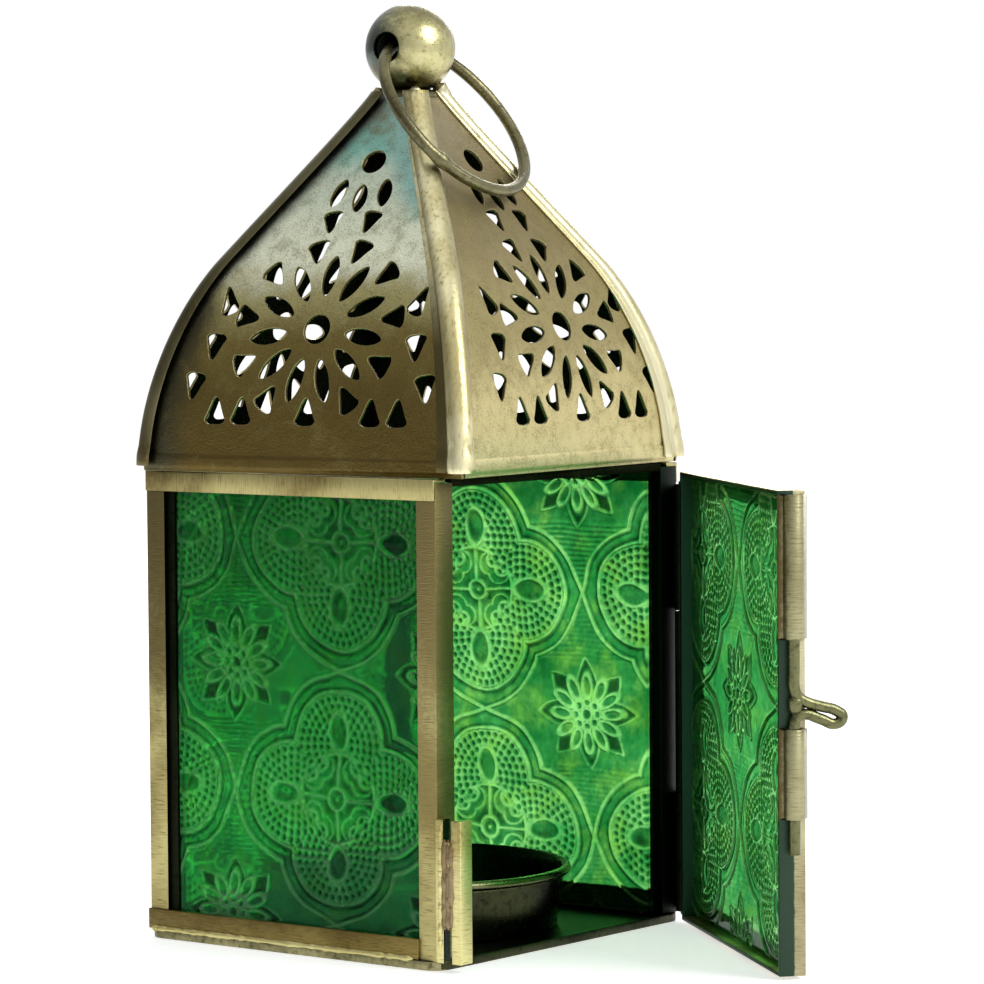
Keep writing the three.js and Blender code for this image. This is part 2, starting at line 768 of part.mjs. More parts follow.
function wireAlong(path, radius, sides, stops) {
  const places = stops.map((share) => path.getPointAt(share));
  const rings = places.map((place, row) => {
    const before = places[Math.max(row - 1, 0)];
    const after = places[Math.min(row + 1, places.length - 1)];
    const along = after.clone().sub(before).normalize();
    const across = new THREE.Vector3(1, 0, 0);
    const over = new THREE.Vector3().crossVectors(along, across).normalize();
    const ring = [];
    for (let side = 0; side < sides; side += 1) {
      const angle = (side / sides) * 2 * Math.PI;
      const spoke = across.clone().multiplyScalar(radius * Math.cos(angle));
      spoke.addScaledVector(over, radius * Math.sin(angle));
      ring.push(place.clone().add(spoke).toArray());
    }
    return ring;
  });
  const index = [];
  for (let row = 0; row + 1 < rings.length; row += 1) {
    for (let side = 0; side < sides; side += 1) {
      const a = row * sides + side;
      const b = row * sides + ((side + 1) % sides);
      index.push(a, b, b + sides, a, b + sides, a + sides);
    }
  }
  const last = (rings.length - 1) * sides;
  for (let side = 1; side + 1 < sides; side += 1) {
    index.push(0, side + 1, side, last, last + side, last + side + 1);
  }
  const geometry = new THREE.BufferGeometry();
  geometry.setAttribute("position", new THREE.Float32BufferAttribute(rings.flat(2), 3));
  geometry.setIndex(index);
  return geometry;
}
const total = route.getLength();
const headRun = (boltHead - upper - bend) / total;
const footRun = (lower - bend - boltFoot) / total;
const stops = [0];
for (let step = 0; step <= 30; step += 1) {
  stops.push(headRun + (1 - headRun - footRun) * (step / 30));
}
stops.push(1);

const latch = new THREE.Group();
latch.add(mesh("latch_bolt", wireAlong(route, boltRadius, 8, stops), wire));
swing.add(latch);

// Sleeves: strip pressed over the bolt, with two feet flat on the edge of the door

function sleeve(name, footUp, headUp) {
  const inner = boltRadius + sleeveClearance;
  const outer = inner + sleeveWall;
  const foot = doorLeft - seatGap - boltX;
  const hollow = [];
  const crown = [];
  for (let step = 0; step <= 6; step += 1) {
    const angle = (0.5 + step / 6) * Math.PI;
    crown.push([outer * Math.cos(angle), outer * Math.sin(angle)]);
    hollow.push([inner * Math.cos(angle), inner * Math.sin(angle)]);
  }
  const section = [
    [foot, outer + sleeveFoot], [foot - sleeveWall, outer + sleeveFoot],
    [foot - sleeveWall, outer], ...crown, [foot - sleeveWall, -outer],
    [foot - sleeveWall, -outer - sleeveFoot], [foot, -outer - sleeveFoot],
    [foot, -inner], ...hollow.reverse(), [foot, inner],
  ];
  const geometry = prism(section, upDoor(footUp), upDoor(headUp)).translate(boltX, boltY, 0);
  return mesh(name, geometry, strips);
}
swing.add(sleeve("latch_sleeve_upper", sleeveHighFootUp, sleeveHighHeadUp));
swing.add(sleeve("latch_sleeve_lower", sleeveLowFootUp, sleeveLowHeadUp));
lantern.add(swing);

// Keeper: a channel on the corner post that the foot of the bolt drops into

const shutBoltX = hingeX + boltX;
const shutBoltY = hingeY + boltY;
const keeperBack = shutBoltX - boltRadius - keeperClearance - keeperWall;
const keeperFront = shutBoltY - boltRadius - keeperClearance - keeperWall;
const keeperMouth = hingeX + doorLeft - hingeGap;
const keeperLow = trayLipHeight;
const keeperHigh = upDoor(keeperUp);
const keeperRear = -halfY;
const channel = joined([
  box(keeperBack, keeperMouth, keeperRear - keeperWall, keeperRear, keeperLow, keeperHigh),
  box(keeperBack, keeperBack + keeperWall, keeperFront, keeperRear, keeperLow, keeperHigh),
  box(keeperBack, keeperMouth, keeperFront, keeperFront + keeperWall, keeperLow, keeperHigh),
]);
const slotFar = keeperRear - keeperWall - 0.9;
const slotNear = slotFar - keeperSlot;
const slotThrough = keeperBack + keeperWall + 0.2;
const slots = [
  box(keeperBack - 1, slotThrough, slotNear, slotFar, keeperHigh - keeperTopSlot, keeperHigh + 1),
  box(keeperBack - 1, slotThrough, slotNear, slotFar, keeperLow - 1, keeperLow + keeperBottomSlot),
];
const keeper = slots.reduce((all, next) => all.subtract(solid(next)), solid(channel));
lantern.add(mesh("latch_keeper", surface(keeper), strips));

export default lantern;
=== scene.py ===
# %% [markdown]
# # A small Moroccan lantern in brass and green glass
# The real lantern is a tinsmith's piece: a glazed box of folded brass strips on a tray, a roof
# of four pierced panels with ribs over the hips, a hollow ball with a carrying ring, and a
# door that hangs open beside its wire bolt. The CAD model fixes every size and joint. This
# script loads it as a frame and dresses it, so nothing here has to be fitted by eye.

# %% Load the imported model
import math

import bpy
import numpy as np
from mathutils import Matrix, Vector


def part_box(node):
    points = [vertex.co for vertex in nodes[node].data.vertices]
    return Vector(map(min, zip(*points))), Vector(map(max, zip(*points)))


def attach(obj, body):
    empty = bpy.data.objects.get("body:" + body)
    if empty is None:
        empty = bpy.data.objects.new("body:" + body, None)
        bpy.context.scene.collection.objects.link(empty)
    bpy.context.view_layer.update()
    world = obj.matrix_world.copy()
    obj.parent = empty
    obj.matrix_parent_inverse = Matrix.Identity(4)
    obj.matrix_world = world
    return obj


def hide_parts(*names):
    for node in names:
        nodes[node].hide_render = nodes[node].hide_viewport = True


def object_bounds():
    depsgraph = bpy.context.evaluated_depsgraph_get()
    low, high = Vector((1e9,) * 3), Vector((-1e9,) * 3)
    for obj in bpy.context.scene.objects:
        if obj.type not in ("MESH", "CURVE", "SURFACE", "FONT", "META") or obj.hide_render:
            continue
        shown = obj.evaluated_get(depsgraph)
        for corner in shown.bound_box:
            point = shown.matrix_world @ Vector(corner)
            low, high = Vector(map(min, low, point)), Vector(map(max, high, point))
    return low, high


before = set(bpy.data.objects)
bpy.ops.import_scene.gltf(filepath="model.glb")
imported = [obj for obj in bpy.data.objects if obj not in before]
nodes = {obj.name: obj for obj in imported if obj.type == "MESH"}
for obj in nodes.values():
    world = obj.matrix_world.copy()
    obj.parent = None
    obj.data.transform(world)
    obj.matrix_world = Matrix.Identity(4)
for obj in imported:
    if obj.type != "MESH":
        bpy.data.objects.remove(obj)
cad_box = [list(corner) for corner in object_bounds()]
MM = 0.001
UP = Vector((0, 0, 1))

# %% [markdown]
# ## The camera
# The photograph was taken from the front left, a hand's breadth above the table, from less
# than a metre away. The place and the lens come from a fit to about thirty edges and corners.
# A camera matrix is written from its three axes, which leaves no doubt about its roll.

# %% Place the camera
CAMERA_AZIMUTH = math.radians(-52.114)
CAMERA_HEIGHT = math.radians(3.178)
CAMERA_ROLL = math.radians(-0.408)
CAMERA_DISTANCE = 680.6
CAMERA_TARGET = Vector((-3.181, -18.195, 70.469))
backwards = Vector((
    math.sin(CAMERA_AZIMUTH) * math.cos(CAMERA_HEIGHT),
    -math.cos(CAMERA_AZIMUTH) * math.cos(CAMERA_HEIGHT),
    math.sin(CAMERA_HEIGHT),
))
level = (-backwards).cross(UP).normalized()
above = level.cross(-backwards)
right = math.cos(CAMERA_ROLL) * level + math.sin(CAMERA_ROLL) * above
top = math.cos(CAMERA_ROLL) * above - math.sin(CAMERA_ROLL) * level
bpy.ops.object.camera_add()
camera = bpy.context.object
camera.matrix_world = Matrix.Translation(
    (CAMERA_TARGET + backwards * CAMERA_DISTANCE) * MM
) @ Matrix((right, top, backwards)).transposed().to_4x4()
camera.data.sensor_width = 36
camera.data.lens = 159.83
bpy.context.scene.camera = camera
bpy.context.scene.view_settings.view_transform = "Standard"
print("camera at", [round(value, 3) for value in camera.location])

# %% [markdown]
# ## Shader maths as plain Python
# A material is a small calculation, and it reads best as one. `Value` wraps a socket, and its
# operators add Math nodes. `Recipe` owns one material, or the world, and has one method for
# every other node.

# %% A socket that takes part in sums
class Value:
    """One output socket in the nodes of a material or of the world."""

    def __init__(self, recipe, socket):
        self.recipe = recipe
        self.socket = socket

    def maths(self, operation, *values, clamp=False):
        return self.recipe.node(
            "ShaderNodeMath", {"operation": operation, "use_clamp": clamp}, dict(enumerate(values))
        )

    def __add__(self, other):
        return self.maths("ADD", self, other)

    def __sub__(self, other):
        return self.maths("SUBTRACT", self, other)

    def __rsub__(self, other):
        return self.maths("SUBTRACT", other, self)

    def __mul__(self, other):
        return self.maths("MULTIPLY", self, other)

    __radd__ = __add__
    __rmul__ = __mul__

    def limited(self):
        return self.maths("ADD", self, 0, clamp=True)

    def rise(self, start, end):
        """0 below start, 1 above end and a smooth slope between; the two may be reversed."""
        return self.recipe.node(
            "ShaderNodeMapRange", {"interpolation_type": "SMOOTHSTEP"},
            {"Value": self, "From Min": start, "From Max": end},
        )

    def other(self, name):
        """Another output of the same node."""
        return Value(self.recipe, self.socket.node.outputs[name])


# %% A material and its nodes
class Recipe:
    """The nodes of one material or of the world, and one method that adds any node."""

    def __init__(self, owner, shader="Principled BSDF", **constants):
        self.material = bpy.data.materials.new(owner) if isinstance(owner, str) else owner
        self.material.use_nodes = True
        self.tree = self.material.node_tree
        self.shader = self.tree.nodes[shader]
        for socket, value in constants.items():
            self.shader.inputs[socket.replace("_", " ")].default_value = value
        self.place = self.node("ShaderNodeTexCoord").other("Object")

    def node(self, kind, settings=None, inputs=None):
        made = self.tree.nodes.new(kind)
        for name, value in (settings or {}).items():
            setattr(made, name, value)
        for name, value in (inputs or {}).items():
            if isinstance(value, Value):
                self.tree.links.new(value.socket, made.inputs[name])
            else:
                made.inputs[name].default_value = value
        shown = [socket for socket in made.outputs if socket.enabled]
        return Value(self, shown[0])

    def parts(self):
        """x, y and z of a place on the object, in millimetres."""
        split = self.node("ShaderNodeSeparateXYZ", None, {"Vector": self.place})
        return tuple(split.other(axis) * 1000 for axis in "XYZ")

    def noise(self, size, detail=3, stretch=(1, 1, 1), roughness=0.55, shift=0):
        """Cloudy noise of about that size in millimetres, finer where stretch is above 1."""
        moved = self.node(
            "ShaderNodeMapping", None,
            {"Vector": self.place, "Location": (shift, shift, shift), "Scale": stretch},
        )
        return self.node(
            "ShaderNodeTexNoise", None,
            {"Vector": moved, "Scale": 1 / (size * MM), "Detail": detail, "Roughness": roughness},
        )

    def blend(self, share, first, second):
        """One colour running into another."""
        def paint(colour):
            return colour if isinstance(colour, Value) else (*colour, 1)
        mix = self.node(
            "ShaderNodeMix", {"data_type": "RGBA"}, {0: share, 6: paint(first), 7: paint(second)}
        )
        return mix

    def attribute(self, name):
        return self.node("ShaderNodeAttribute", {"attribute_name": name}).other("Fac")

    def feed(self, **links):
        for name, value in links.items():
            self.tree.links.new(value.socket, self.shader.inputs[name.replace("_", " ")])

    def bump(self, height, distance):
        """Bump from a height between 0 and 1, distance in millimetres."""
        return self.node("ShaderNodeBump", None, {"Height": height, "Distance": distance * MM})


# %% [markdown]
# ## Floor, world and lamps
# A white table in a white room: the floor carries a soft shadow, and metal and glass see the
# white room. Light Path tells what a ray is for, so the room can be white to look at without
# flooding the object with light. Two softboxes give the highlights on the ball and ribs.

# %% Light the room
scene = bpy.context.scene
scene.world = bpy.data.worlds.new("white_room")
room = Recipe(scene.world, "Background")
ray = room.node("ShaderNodeLightPath")
way = room.node("ShaderNodeTexCoord").other("Generated")
towards_window = room.node(
    "ShaderNodeVectorMath", {"operation": "DOT_PRODUCT"}, {0: way, 1: (0.6, -0.65, 0.45)}
).other("Value")
mirrored = 0.3 + 0.7 * towards_window.rise(-0.8, 0.45)
plain_white = (ray.other("Is Camera Ray") + ray.other("Is Transmission Ray")).limited()
glossy = ray.other("Is Glossy Ray")
soft = 0.6 * (1 - glossy) + glossy * mirrored
room.feed(Strength=plain_white + (1 - plain_white) * soft)
room.shader.inputs["Color"].default_value = (1, 1, 1, 1)


def softbox(name, azimuth, height, distance, size, power):
    """A square lamp round the lantern; azimuth 0 is in front and 90 on its right."""
    turn, lift = math.radians(azimuth), math.radians(height)
    way = Vector((
        math.sin(turn) * math.cos(lift), -math.cos(turn) * math.cos(lift), math.sin(lift)
    ))
    aim = Vector((0, 0, 0.08))
    bpy.ops.object.light_add(type="AREA", location=aim + way * distance)
    lamp = bpy.context.object
    lamp.name = name
    lamp.rotation_euler = way.to_track_quat("Z", "Y").to_euler()
    lamp.data.size = size
    lamp.data.energy = power
    return lamp


softbox("key", 8, 36, 0.9, 0.4, 5)
softbox("rim", 120, 25, 1.0, 0.4, 4)

# %% Lay the floor
bpy.ops.mesh.primitive_grid_add(x_subdivisions=2, y_subdivisions=2, size=6)
floor = bpy.context.object
floor.name = "floor"
floor.location.z = cad_box[0][2] - 0.02 * MM
table = Recipe("white_table", Roughness=0.7)
table.shader.inputs["Base Color"].default_value = (0.8, 0.8, 0.8, 1)
looked_at = table.node("ShaderNodeLightPath")
plain = looked_at.other("Is Camera Ray") + looked_at.other("Is Glossy Ray")
glow = (plain + looked_at.other("Is Transmission Ray")).limited()
white = table.blend(glow, (0, 0, 0), (0.55, 0.55, 0.55))
table.feed(Emission_Color=white)
table.shader.inputs["Emission Strength"].default_value = 1
floor.data.materials.append(table.material)

# %% [markdown]
# ## Bench tools
# Every piece starts as a primitive and is shaped with the edit operators. These few helpers
# keep the steps short: they deselect everything, read and set all corners at once, and finish
# a piece by giving it a finish, the body it moves with and the CAD solid that it stands for.

# %% Small helpers for every piece
def deselect():
    if bpy.context.object and bpy.context.object.mode != "OBJECT":
        bpy.ops.object.mode_set(mode="OBJECT")
    bpy.ops.object.select_all(action="DESELECT")


def corners(piece):
    """All corners of a piece in millimetres."""
    flat = np.zeros(len(piece.data.vertices) * 3)
    piece.data.vertices.foreach_get("co", flat)
    return flat.reshape(-1, 3) / MM


def set_corners(piece, places):
    piece.data.vertices.foreach_set("co", (np.asarray(places) * MM).ravel())
    piece.data.update()


def box_of(node):
    """Lowest and highest corner of a CAD node in millimetres."""
    return [np.array(corner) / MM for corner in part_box(node)]


def named(name):
    """The piece just added, which the operators work on next."""
    piece = bpy.context.object
    piece.name = name
    piece.data.name = name
    return piece


def work_on(piece):
    deselect()
    piece.select_set(True)
    bpy.context.view_layer.objects.active = piece


def in_edit_mode(piece, *steps):
    """Runs edit operators on all of a piece."""
    work_on(piece)
    bpy.ops.object.mode_set(mode="EDIT")
    bpy.ops.mesh.select_all(action="SELECT")
    for step in steps:
        step()
    bpy.ops.object.mode_set(mode="OBJECT")


def modify(piece, kind, **settings):
    """Adds a modifier and applies it at once."""
    work_on(piece)
    modifier = piece.modifiers.new(kind, kind)
    for name, value in settings.items():
        setattr(modifier, name, value)
    bpy.ops.object.modifier_apply(modifier=modifier.name)
    return piece


def smooth(piece, angle=35):
    work_on(piece)
    bpy.ops.object.shade_smooth_by_angle(angle=math.radians(angle))


def coat(piece, *finishes):
    """Replaces all finishes of a piece."""
    piece.data.materials.clear()
    for finish in finishes:
        piece.data.materials.append(finish)


def dress(piece, body, slot, finish, *stands_for):
    """Gives a finished piece its finish, the body it moves with and its CAD solids."""
    if finish is not None:
        coat(piece, finish)
    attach(piece, body)
    if stands_for:
        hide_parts(*stands_for)
    return piece


def mark(piece, name, values, domain="FACE"):
    """Stores one number for each face, or each point, for the finish to read."""
    layer = piece.data.attributes.new(name, "FLOAT", domain)
    layer.data.foreach_set("value", np.asarray(values, float))


def faces(piece):
    """Middle (in millimetres) and direction of every face."""
    count = len(piece.data.polygons)
    middles, ways = np.zeros(count * 3), np.zeros(count * 3)
    piece.data.polygons.foreach_get("center", middles)
    piece.data.polygons.foreach_get("normal", ways)
    return middles.reshape(-1, 3) / MM, ways.reshape(-1, 3)


# %% A sheet whose corners are laid by a rule
def sheet(name, columns, rows, lay):
    """A grid whose corners go where lay(across, up) says; both shares run from 0 to 1."""
    deselect()
    bpy.ops.mesh.primitive_grid_add(x_subdivisions=columns, y_subdivisions=rows, size=1)
    piece = named(name)
    shares = corners(piece)[:, :2] * MM + 0.5
    set_corners(piece, lay(shares[:, 0], shares[:, 1]))
    return piece


# %% [markdown]
# ## Brass
# The brass is old and was cleaned with a coarse wheel. Colour lies in clouds of olive and
# brown over a golden ground, with fine scratches across each strip. One recipe serves every
# strip, and its settings say how bright, how brown and which way the scratches run.

# %% The brass finish
def brass(
    name, light, deep, stain, scratch=(1, 1, 1), rough=0.36, stained=0.3, painted_tone=None,
    shades=(), relief=0.09,
):
    """shades are (direction, start, end, colour): the colour comes in along the direction."""
    recipe = Recipe(name, Metallic=1)
    clouds = recipe.noise(16, 3)
    mottle = recipe.noise(0.9, 4, shift=0.3)
    grain = recipe.noise(0.22, 2)
    lines = recipe.noise(0.9, 3, stretch=scratch, shift=0.1)
    ground = recipe.blend((clouds * 0.75 + lines * 0.25).rise(0.36, 0.64), light, deep)
    ground = recipe.blend(lines.rise(0.56, 0.7) * 0.5, ground, stain)
    spots = (mottle * 0.45 + clouds * 0.55).rise(0.55, 0.68) * stained
    colour = recipe.blend(spots, ground, stain)
    x, y, z = recipe.parts()
    for way, start, end, tone in shades:
        along = x * float(way[0]) + y * float(way[1]) + z * float(way[2])
        uneven = along + (clouds + mottle - 1) * abs(end - start)
        colour = recipe.blend(uneven.rise(start, end), colour, tone)
    # Where the inside attribute is 1 this paints light: shade on faces in deep shadow, a highlight
    # on the bright ribs.
    if painted_tone is not None:
        colour = recipe.blend(recipe.attribute("inside"), colour, painted_tone)
    recipe.feed(
        Base_Color=colour,
        Roughness=rough + 0.18 * lines + 0.12 * mottle - 0.1,
        Normal=recipe.bump(lines * 0.6 + grain * 0.4 + clouds, relief),
    )
    return recipe.material


LIGHT_BRASS = (0.52, 0.46, 0.2)
DEEP_BRASS = (0.25, 0.2, 0.07)
BROWN_STAIN = (0.07, 0.05, 0.02)
# A near black-green painted shade for faces in deep shadow inside the lantern and in hollows.
PAINTED_SHADE = (0.006, 0.011, 0.006)
upright_strip = brass(
    "upright_strip", LIGHT_BRASS, DEEP_BRASS, BROWN_STAIN, scratch=(0.35, 0.35, 5), painted_tone=PAINTED_SHADE
)
back_left_strip = brass(
    "back_left_strip", LIGHT_BRASS, DEEP_BRASS, BROWN_STAIN, scratch=(0.35, 0.35, 5), painted_tone=PAINTED_SHADE,
    shades=[((0, 0, 1), 25, 62, (0.16, 0.13, 0.05))],
)
front_left_strip = brass(
    "front_left_strip", LIGHT_BRASS, DEEP_BRASS, BROWN_STAIN, scratch=(0.35, 0.35, 5),
    painted_tone=PAINTED_SHADE, shades=[((0, 0, 1), 12, 58, (0.28, 0.225, 0.09))],
)
level_strip = brass(
    "level_strip", LIGHT_BRASS, DEEP_BRASS, BROWN_STAIN, scratch=(5, 5, 0.35), painted_tone=PAINTED_SHADE
)
low_strip = brass(
    "low_strip", (0.31, 0.235, 0.075), (0.15, 0.11, 0.032), BROWN_STAIN, scratch=(0.35, 0.35, 5),
    painted_tone=PAINTED_SHADE,
)
# Painted shade: a near black metal whose edges hardly reflect, for parts in deep shadow.
painted_shade_metal = brass(
    "painted_shade_metal", (0.02, 0.024, 0.012), (0.008, 0.012, 0.006), (0.004, 0.005, 0.003), rough=0.55
)
edge_tint = painted_shade_metal.node_tree.nodes["Principled BSDF"].inputs["Specular Tint"]
edge_tint.default_value = (0.05, 0.06, 0.05, 1)
tray_metal = brass(
    "tray_metal", (0.42, 0.39, 0.2), (0.16, 0.15, 0.07), (0.03, 0.03, 0.018), painted_tone=PAINTED_SHADE
)
wire_metal = brass(
    "wire_metal", (0.2, 0.185, 0.1), (0.11, 0.1, 0.05), (0.04, 0.03, 0.018), rough=0.26
)
# The ball's shades are painted shade: over its top, down its left side and at its foot, round the
# key lamp's highlight; its bore gets painted shade too.
ball_metal = brass(
    "ball_metal", (0.55, 0.52, 0.28), (0.36, 0.32, 0.14), (0.12, 0.1, 0.045), rough=0.24,
    stained=0.6, painted_tone=PAINTED_SHADE, relief=0.06,
    shades=[
        ((0.25, -0.3, 1), 142, 147, (0.2, 0.18, 0.085)),
        ((-0.614, 0.789, 0), 0.5, 5.5, (0.1, 0.12, 0.1)),
        ((-0.2, 0.1, -1), -136.5, -134.5, (0.1, 0.085, 0.035)),
    ],
)
cut_metal = brass("cut_metal", (0.3, 0.27, 0.13), (0.2, 0.17, 0.07), (0.1, 0.08, 0.03))
solder_metal = brass(
    "solder_metal", (0.62, 0.6, 0.44), (0.4, 0.36, 0.2), (0.12, 0.09, 0.05), rough=0.42
)
keeper_strip = brass(
    "keeper_strip", (0.84, 0.77, 0.38), (0.6, 0.52, 0.2), (0.12, 0.09, 0.03),
    scratch=(0.35, 0.35, 5), stained=0.6, painted_tone=PAINTED_SHADE,
)
keeper_solder = brass(
    "keeper_solder", (0.37, 0.29, 0.17), (0.25, 0.18, 0.09), (0.09, 0.06, 0.03), rough=0.5
)

# %% [markdown]
# ## The strips of the body
# The posts, rails, tray and door frame already have their true shapes in the CAD model, with
# dead sharp edges. Real folded strip has small round edges that catch the light, so each
# solid is copied, its loose triangles are merged, and a bevel rounds it.

# %% Round the edges of the folded strips
def softened(
    node, radius, finish, inside=None, body="lantern", slot="brass_strip", trim=None
):
    """A copy of a CAD solid with rounded edges. inside marks faces for painted shade, by their
    place, and trim moves corners first where the real piece is smaller."""
    deselect()
    piece = bpy.data.objects.new(node + "_strip", nodes[node].data.copy())
    bpy.context.scene.collection.objects.link(piece)
    in_edit_mode(
        piece,
        lambda: bpy.ops.mesh.remove_doubles(threshold=1e-6),
        lambda: bpy.ops.mesh.dissolve_limited(angle_limit=math.radians(1)),
    )
    if trim is not None:
        set_corners(piece, trim(corners(piece)))
    modify(
        piece, "BEVEL", width=radius * MM, segments=2, limit_method="ANGLE",
        angle_limit=math.radians(35), use_clamp_overlap=True,
    )
    smooth(piece)
    middles, ways = faces(piece)
    painted_shade_marks = np.zeros(len(middles)) if inside is None else inside(middles, ways)
    mark(piece, "inside", painted_shade_marks)
    return dress(piece, body, slot, finish, node)


def facing_in(middles, ways):
    """1 where a face of the body looks towards the middle of the lantern, for painted shade."""
    return ((-middles[:, :2] * ways[:, :2]).sum(1) > 4).astype(float)


def dark_in_front(middles, ways):
    """Corner posts at the door: painted shade where they look inwards, less where forwards."""
    return np.maximum(facing_in(middles, ways), 0.3 * (ways[:, 1] < -0.5))


# The post beside the door gets painted shade on all faces but those that look right.
def dark_but_outside(middles, ways):
    return (ways[:, 0] < 0.5).astype(float)


def dark_tray(middles, ways):
    """The tray gets painted shade on top and along its front edge."""
    return np.maximum(ways[:, 2] > 0.5, 0.85 * (ways[:, 1] < -0.85))


HEADER_TRIM = 2


def narrow_header(places):
    """The header over the door was folded narrow, so it hardly shows below the roof."""
    low = places[:, 2].min()
    places[:, 2] = np.where(places[:, 2] < low + 0.3, low + HEADER_TRIM, places[:, 2])
    return places


def inside_keeper(middles, ways):
    """The keeper is bright only on the two walls that face outwards; the rest is painted shade."""
    low, high = box_of("latch_keeper")
    bright = ((ways < -0.5) & (middles < low + 0.3))[:, :2].any(1) | (np.abs(ways[:, 2]) > 0.5)
    return (~bright).astype(float)


softened("post_front_left", 0.15, front_left_strip, dark_in_front)
softened("post_front_right", 0.15, upright_strip, dark_but_outside)
softened("post_back_left", 0.15, back_left_strip, facing_in)
softened("post_back_right", 0.15, upright_strip, facing_in)
for side in ("left", "right", "back"):
    softened("top_rail_" + side, 0.15, level_strip, facing_in)
    softened("bottom_rail_" + side, 0.2, low_strip, facing_in)
# The header and the hinge knuckles lie in deep shadow, so their finish is painted shade.
softened("top_rail_front", 0.1, painted_shade_metal, slot="dark_brass", trim=narrow_header)
softened("base_plate", 0.2, tray_metal, dark_tray, slot="dark_brass")
for end in ("lower", "upper"):
    softened("hinge_knuckle_" + end, 0.1, painted_shade_metal)
softened("hinge_pin", 0.2, wire_metal, slot="brass_wire")
softened("latch_keeper", 0.12, keeper_strip, inside_keeper)
# The door's knuckle gets the same painted shade metal.
softened("door_knuckle", 0.1, painted_shade_metal, body="door")

# %% [markdown]
# ## The door frame
# The door is seen from its inside: its flanges carry a dark, greenish painted shade there, with
# paler metal only where the top edge was soldered. The outside is bright strip like the body's.

# %% Dress the door frame
DOOR_OPEN = math.radians(50)
DOOR_HINGE = np.array([30.3, -30.6, 0.0])
door_along = np.array([-math.cos(DOOR_OPEN), -math.sin(DOOR_OPEN), 0.0])
door_inward = np.array([-math.sin(DOOR_OPEN), math.cos(DOOR_OPEN), 0.0])


def door_inside(middles, ways):
    """1 where a face of the door looks inwards or into the frame, for painted shade."""
    return ((ways @ door_inward > -0.5) & (np.abs(ways[:, 2]) < 0.5)).astype(float)


door_painted_shade = (0.012, 0.04, 0.022)
door_strip = brass(
    "door_strip", LIGHT_BRASS, DEEP_BRASS, BROWN_STAIN, scratch=(0.35, 0.35, 5), painted_tone=door_painted_shade
)
for part in ("stile_hinge", "rail_top", "rail_bottom"):
    softened("door_" + part, 0.12, door_strip, door_inside, body="door")


# The latch stile gets the same painted shade, except on its edge face.
def dark_but_edge(middles, ways):
    return door_inside(middles, ways) * (ways @ door_along < 0.7)


stile = softened("door_stile_latch", 0.12, None, dark_but_edge, body="door")
outwards = -door_inward
depths = (corners(stile) - DOOR_HINGE) @ outwards
fold = DOOR_HINGE @ outwards + 0.42 * depths.min() + 0.58 * depths.max()
print("latch stile from", depths.min().round(2), "to", depths.max().round(2))
# The part of the stile's edge face that lies inwards of the fold gets a painted shade.
latch_strip = brass(
    "latch_strip", (0.46, 0.43, 0.27), (0.26, 0.23, 0.12), BROWN_STAIN,
    scratch=(0.35, 0.35, 5), painted_tone=door_painted_shade,
    shades=[(-outwards, -fold - 0.1, -fold + 0.2, (0.035, 0.06, 0.04))],
)
coat(stile, latch_strip)
for end in ("lower", "upper"):
    sleeve = softened("latch_sleeve_" + end, 0.25, None, body="door")
    depths = corners(sleeve) @ outwards
    # Each sleeve is a round tube: painted shade along its inner side, a painted highlight on its
    # outer edge.
    sleeve_strip = brass(
        "sleeve_strip_" + end, (0.37, 0.35, 0.2), (0.22, 0.2, 0.095), (0.13, 0.1, 0.045),
        scratch=(0.35, 0.35, 5),
        shades=[
            (-outwards, -depths.min() - 1.6, -depths.min() - 0.2, (0.1, 0.075, 0.03)),
            (outwards, depths.max() - 0.7, depths.max() - 0.2, (0.42, 0.42, 0.36)),
        ],
    )
    coat(sleeve, sleeve_strip)
print("strips done")

# %% [markdown]
# ## Pressed green glass
# Each pane is rolled glass with a pressed pattern: four-lobed flowers filled with rows of
# beads, and rosettes in the pointed fields between them. Cutting this by hand would take
# days, so the height of the pattern is worked out in numbers: distances to arcs, rings and
# almonds make the ridges. A fine grid takes that height, and an attribute keeps the
# lightness for the glass colour.

# %% The pattern of the glass, in pitches of its lattice
LOBE_OUT = 0.21
LOBE_RADIUS = 0.21
RIM_RADIUS = 0.272
BEAD_PITCH = 0.031
BEAD_RADIUS = 0.0145
CORE_OUT = 0.172
TIP_SLOPE = math.asin(RIM_RADIUS / (0.5 - LOBE_OUT))


def ridge(distance, half_width):
    return np.exp(-(distance / half_width) ** 2)


def almond(along, across, half_length, half_width):
    """Below 0 inside a pointed oval, in pitches."""
    return (np.hypot(along / half_length, across / half_width) - 1) * half_width


def repeat(values):
    """Folds a lattice coordinate to -0.5 ... 0.5 round its nearest lattice point."""
    return (values + 0.5) % 1 - 0.5


def rim(far, near):
    """Distance outside the flower's outer line, whose lobes run to a point at the next one."""
    to_tip = (far - 0.5) * math.sin(TIP_SLOPE) + near * math.cos(TIP_SLOPE)
    pointed = near < (far - LOBE_OUT) / math.tan(TIP_SLOPE)
    return np.where(pointed, to_tip, np.hypot(far - LOBE_OUT, near) - RIM_RADIUS)


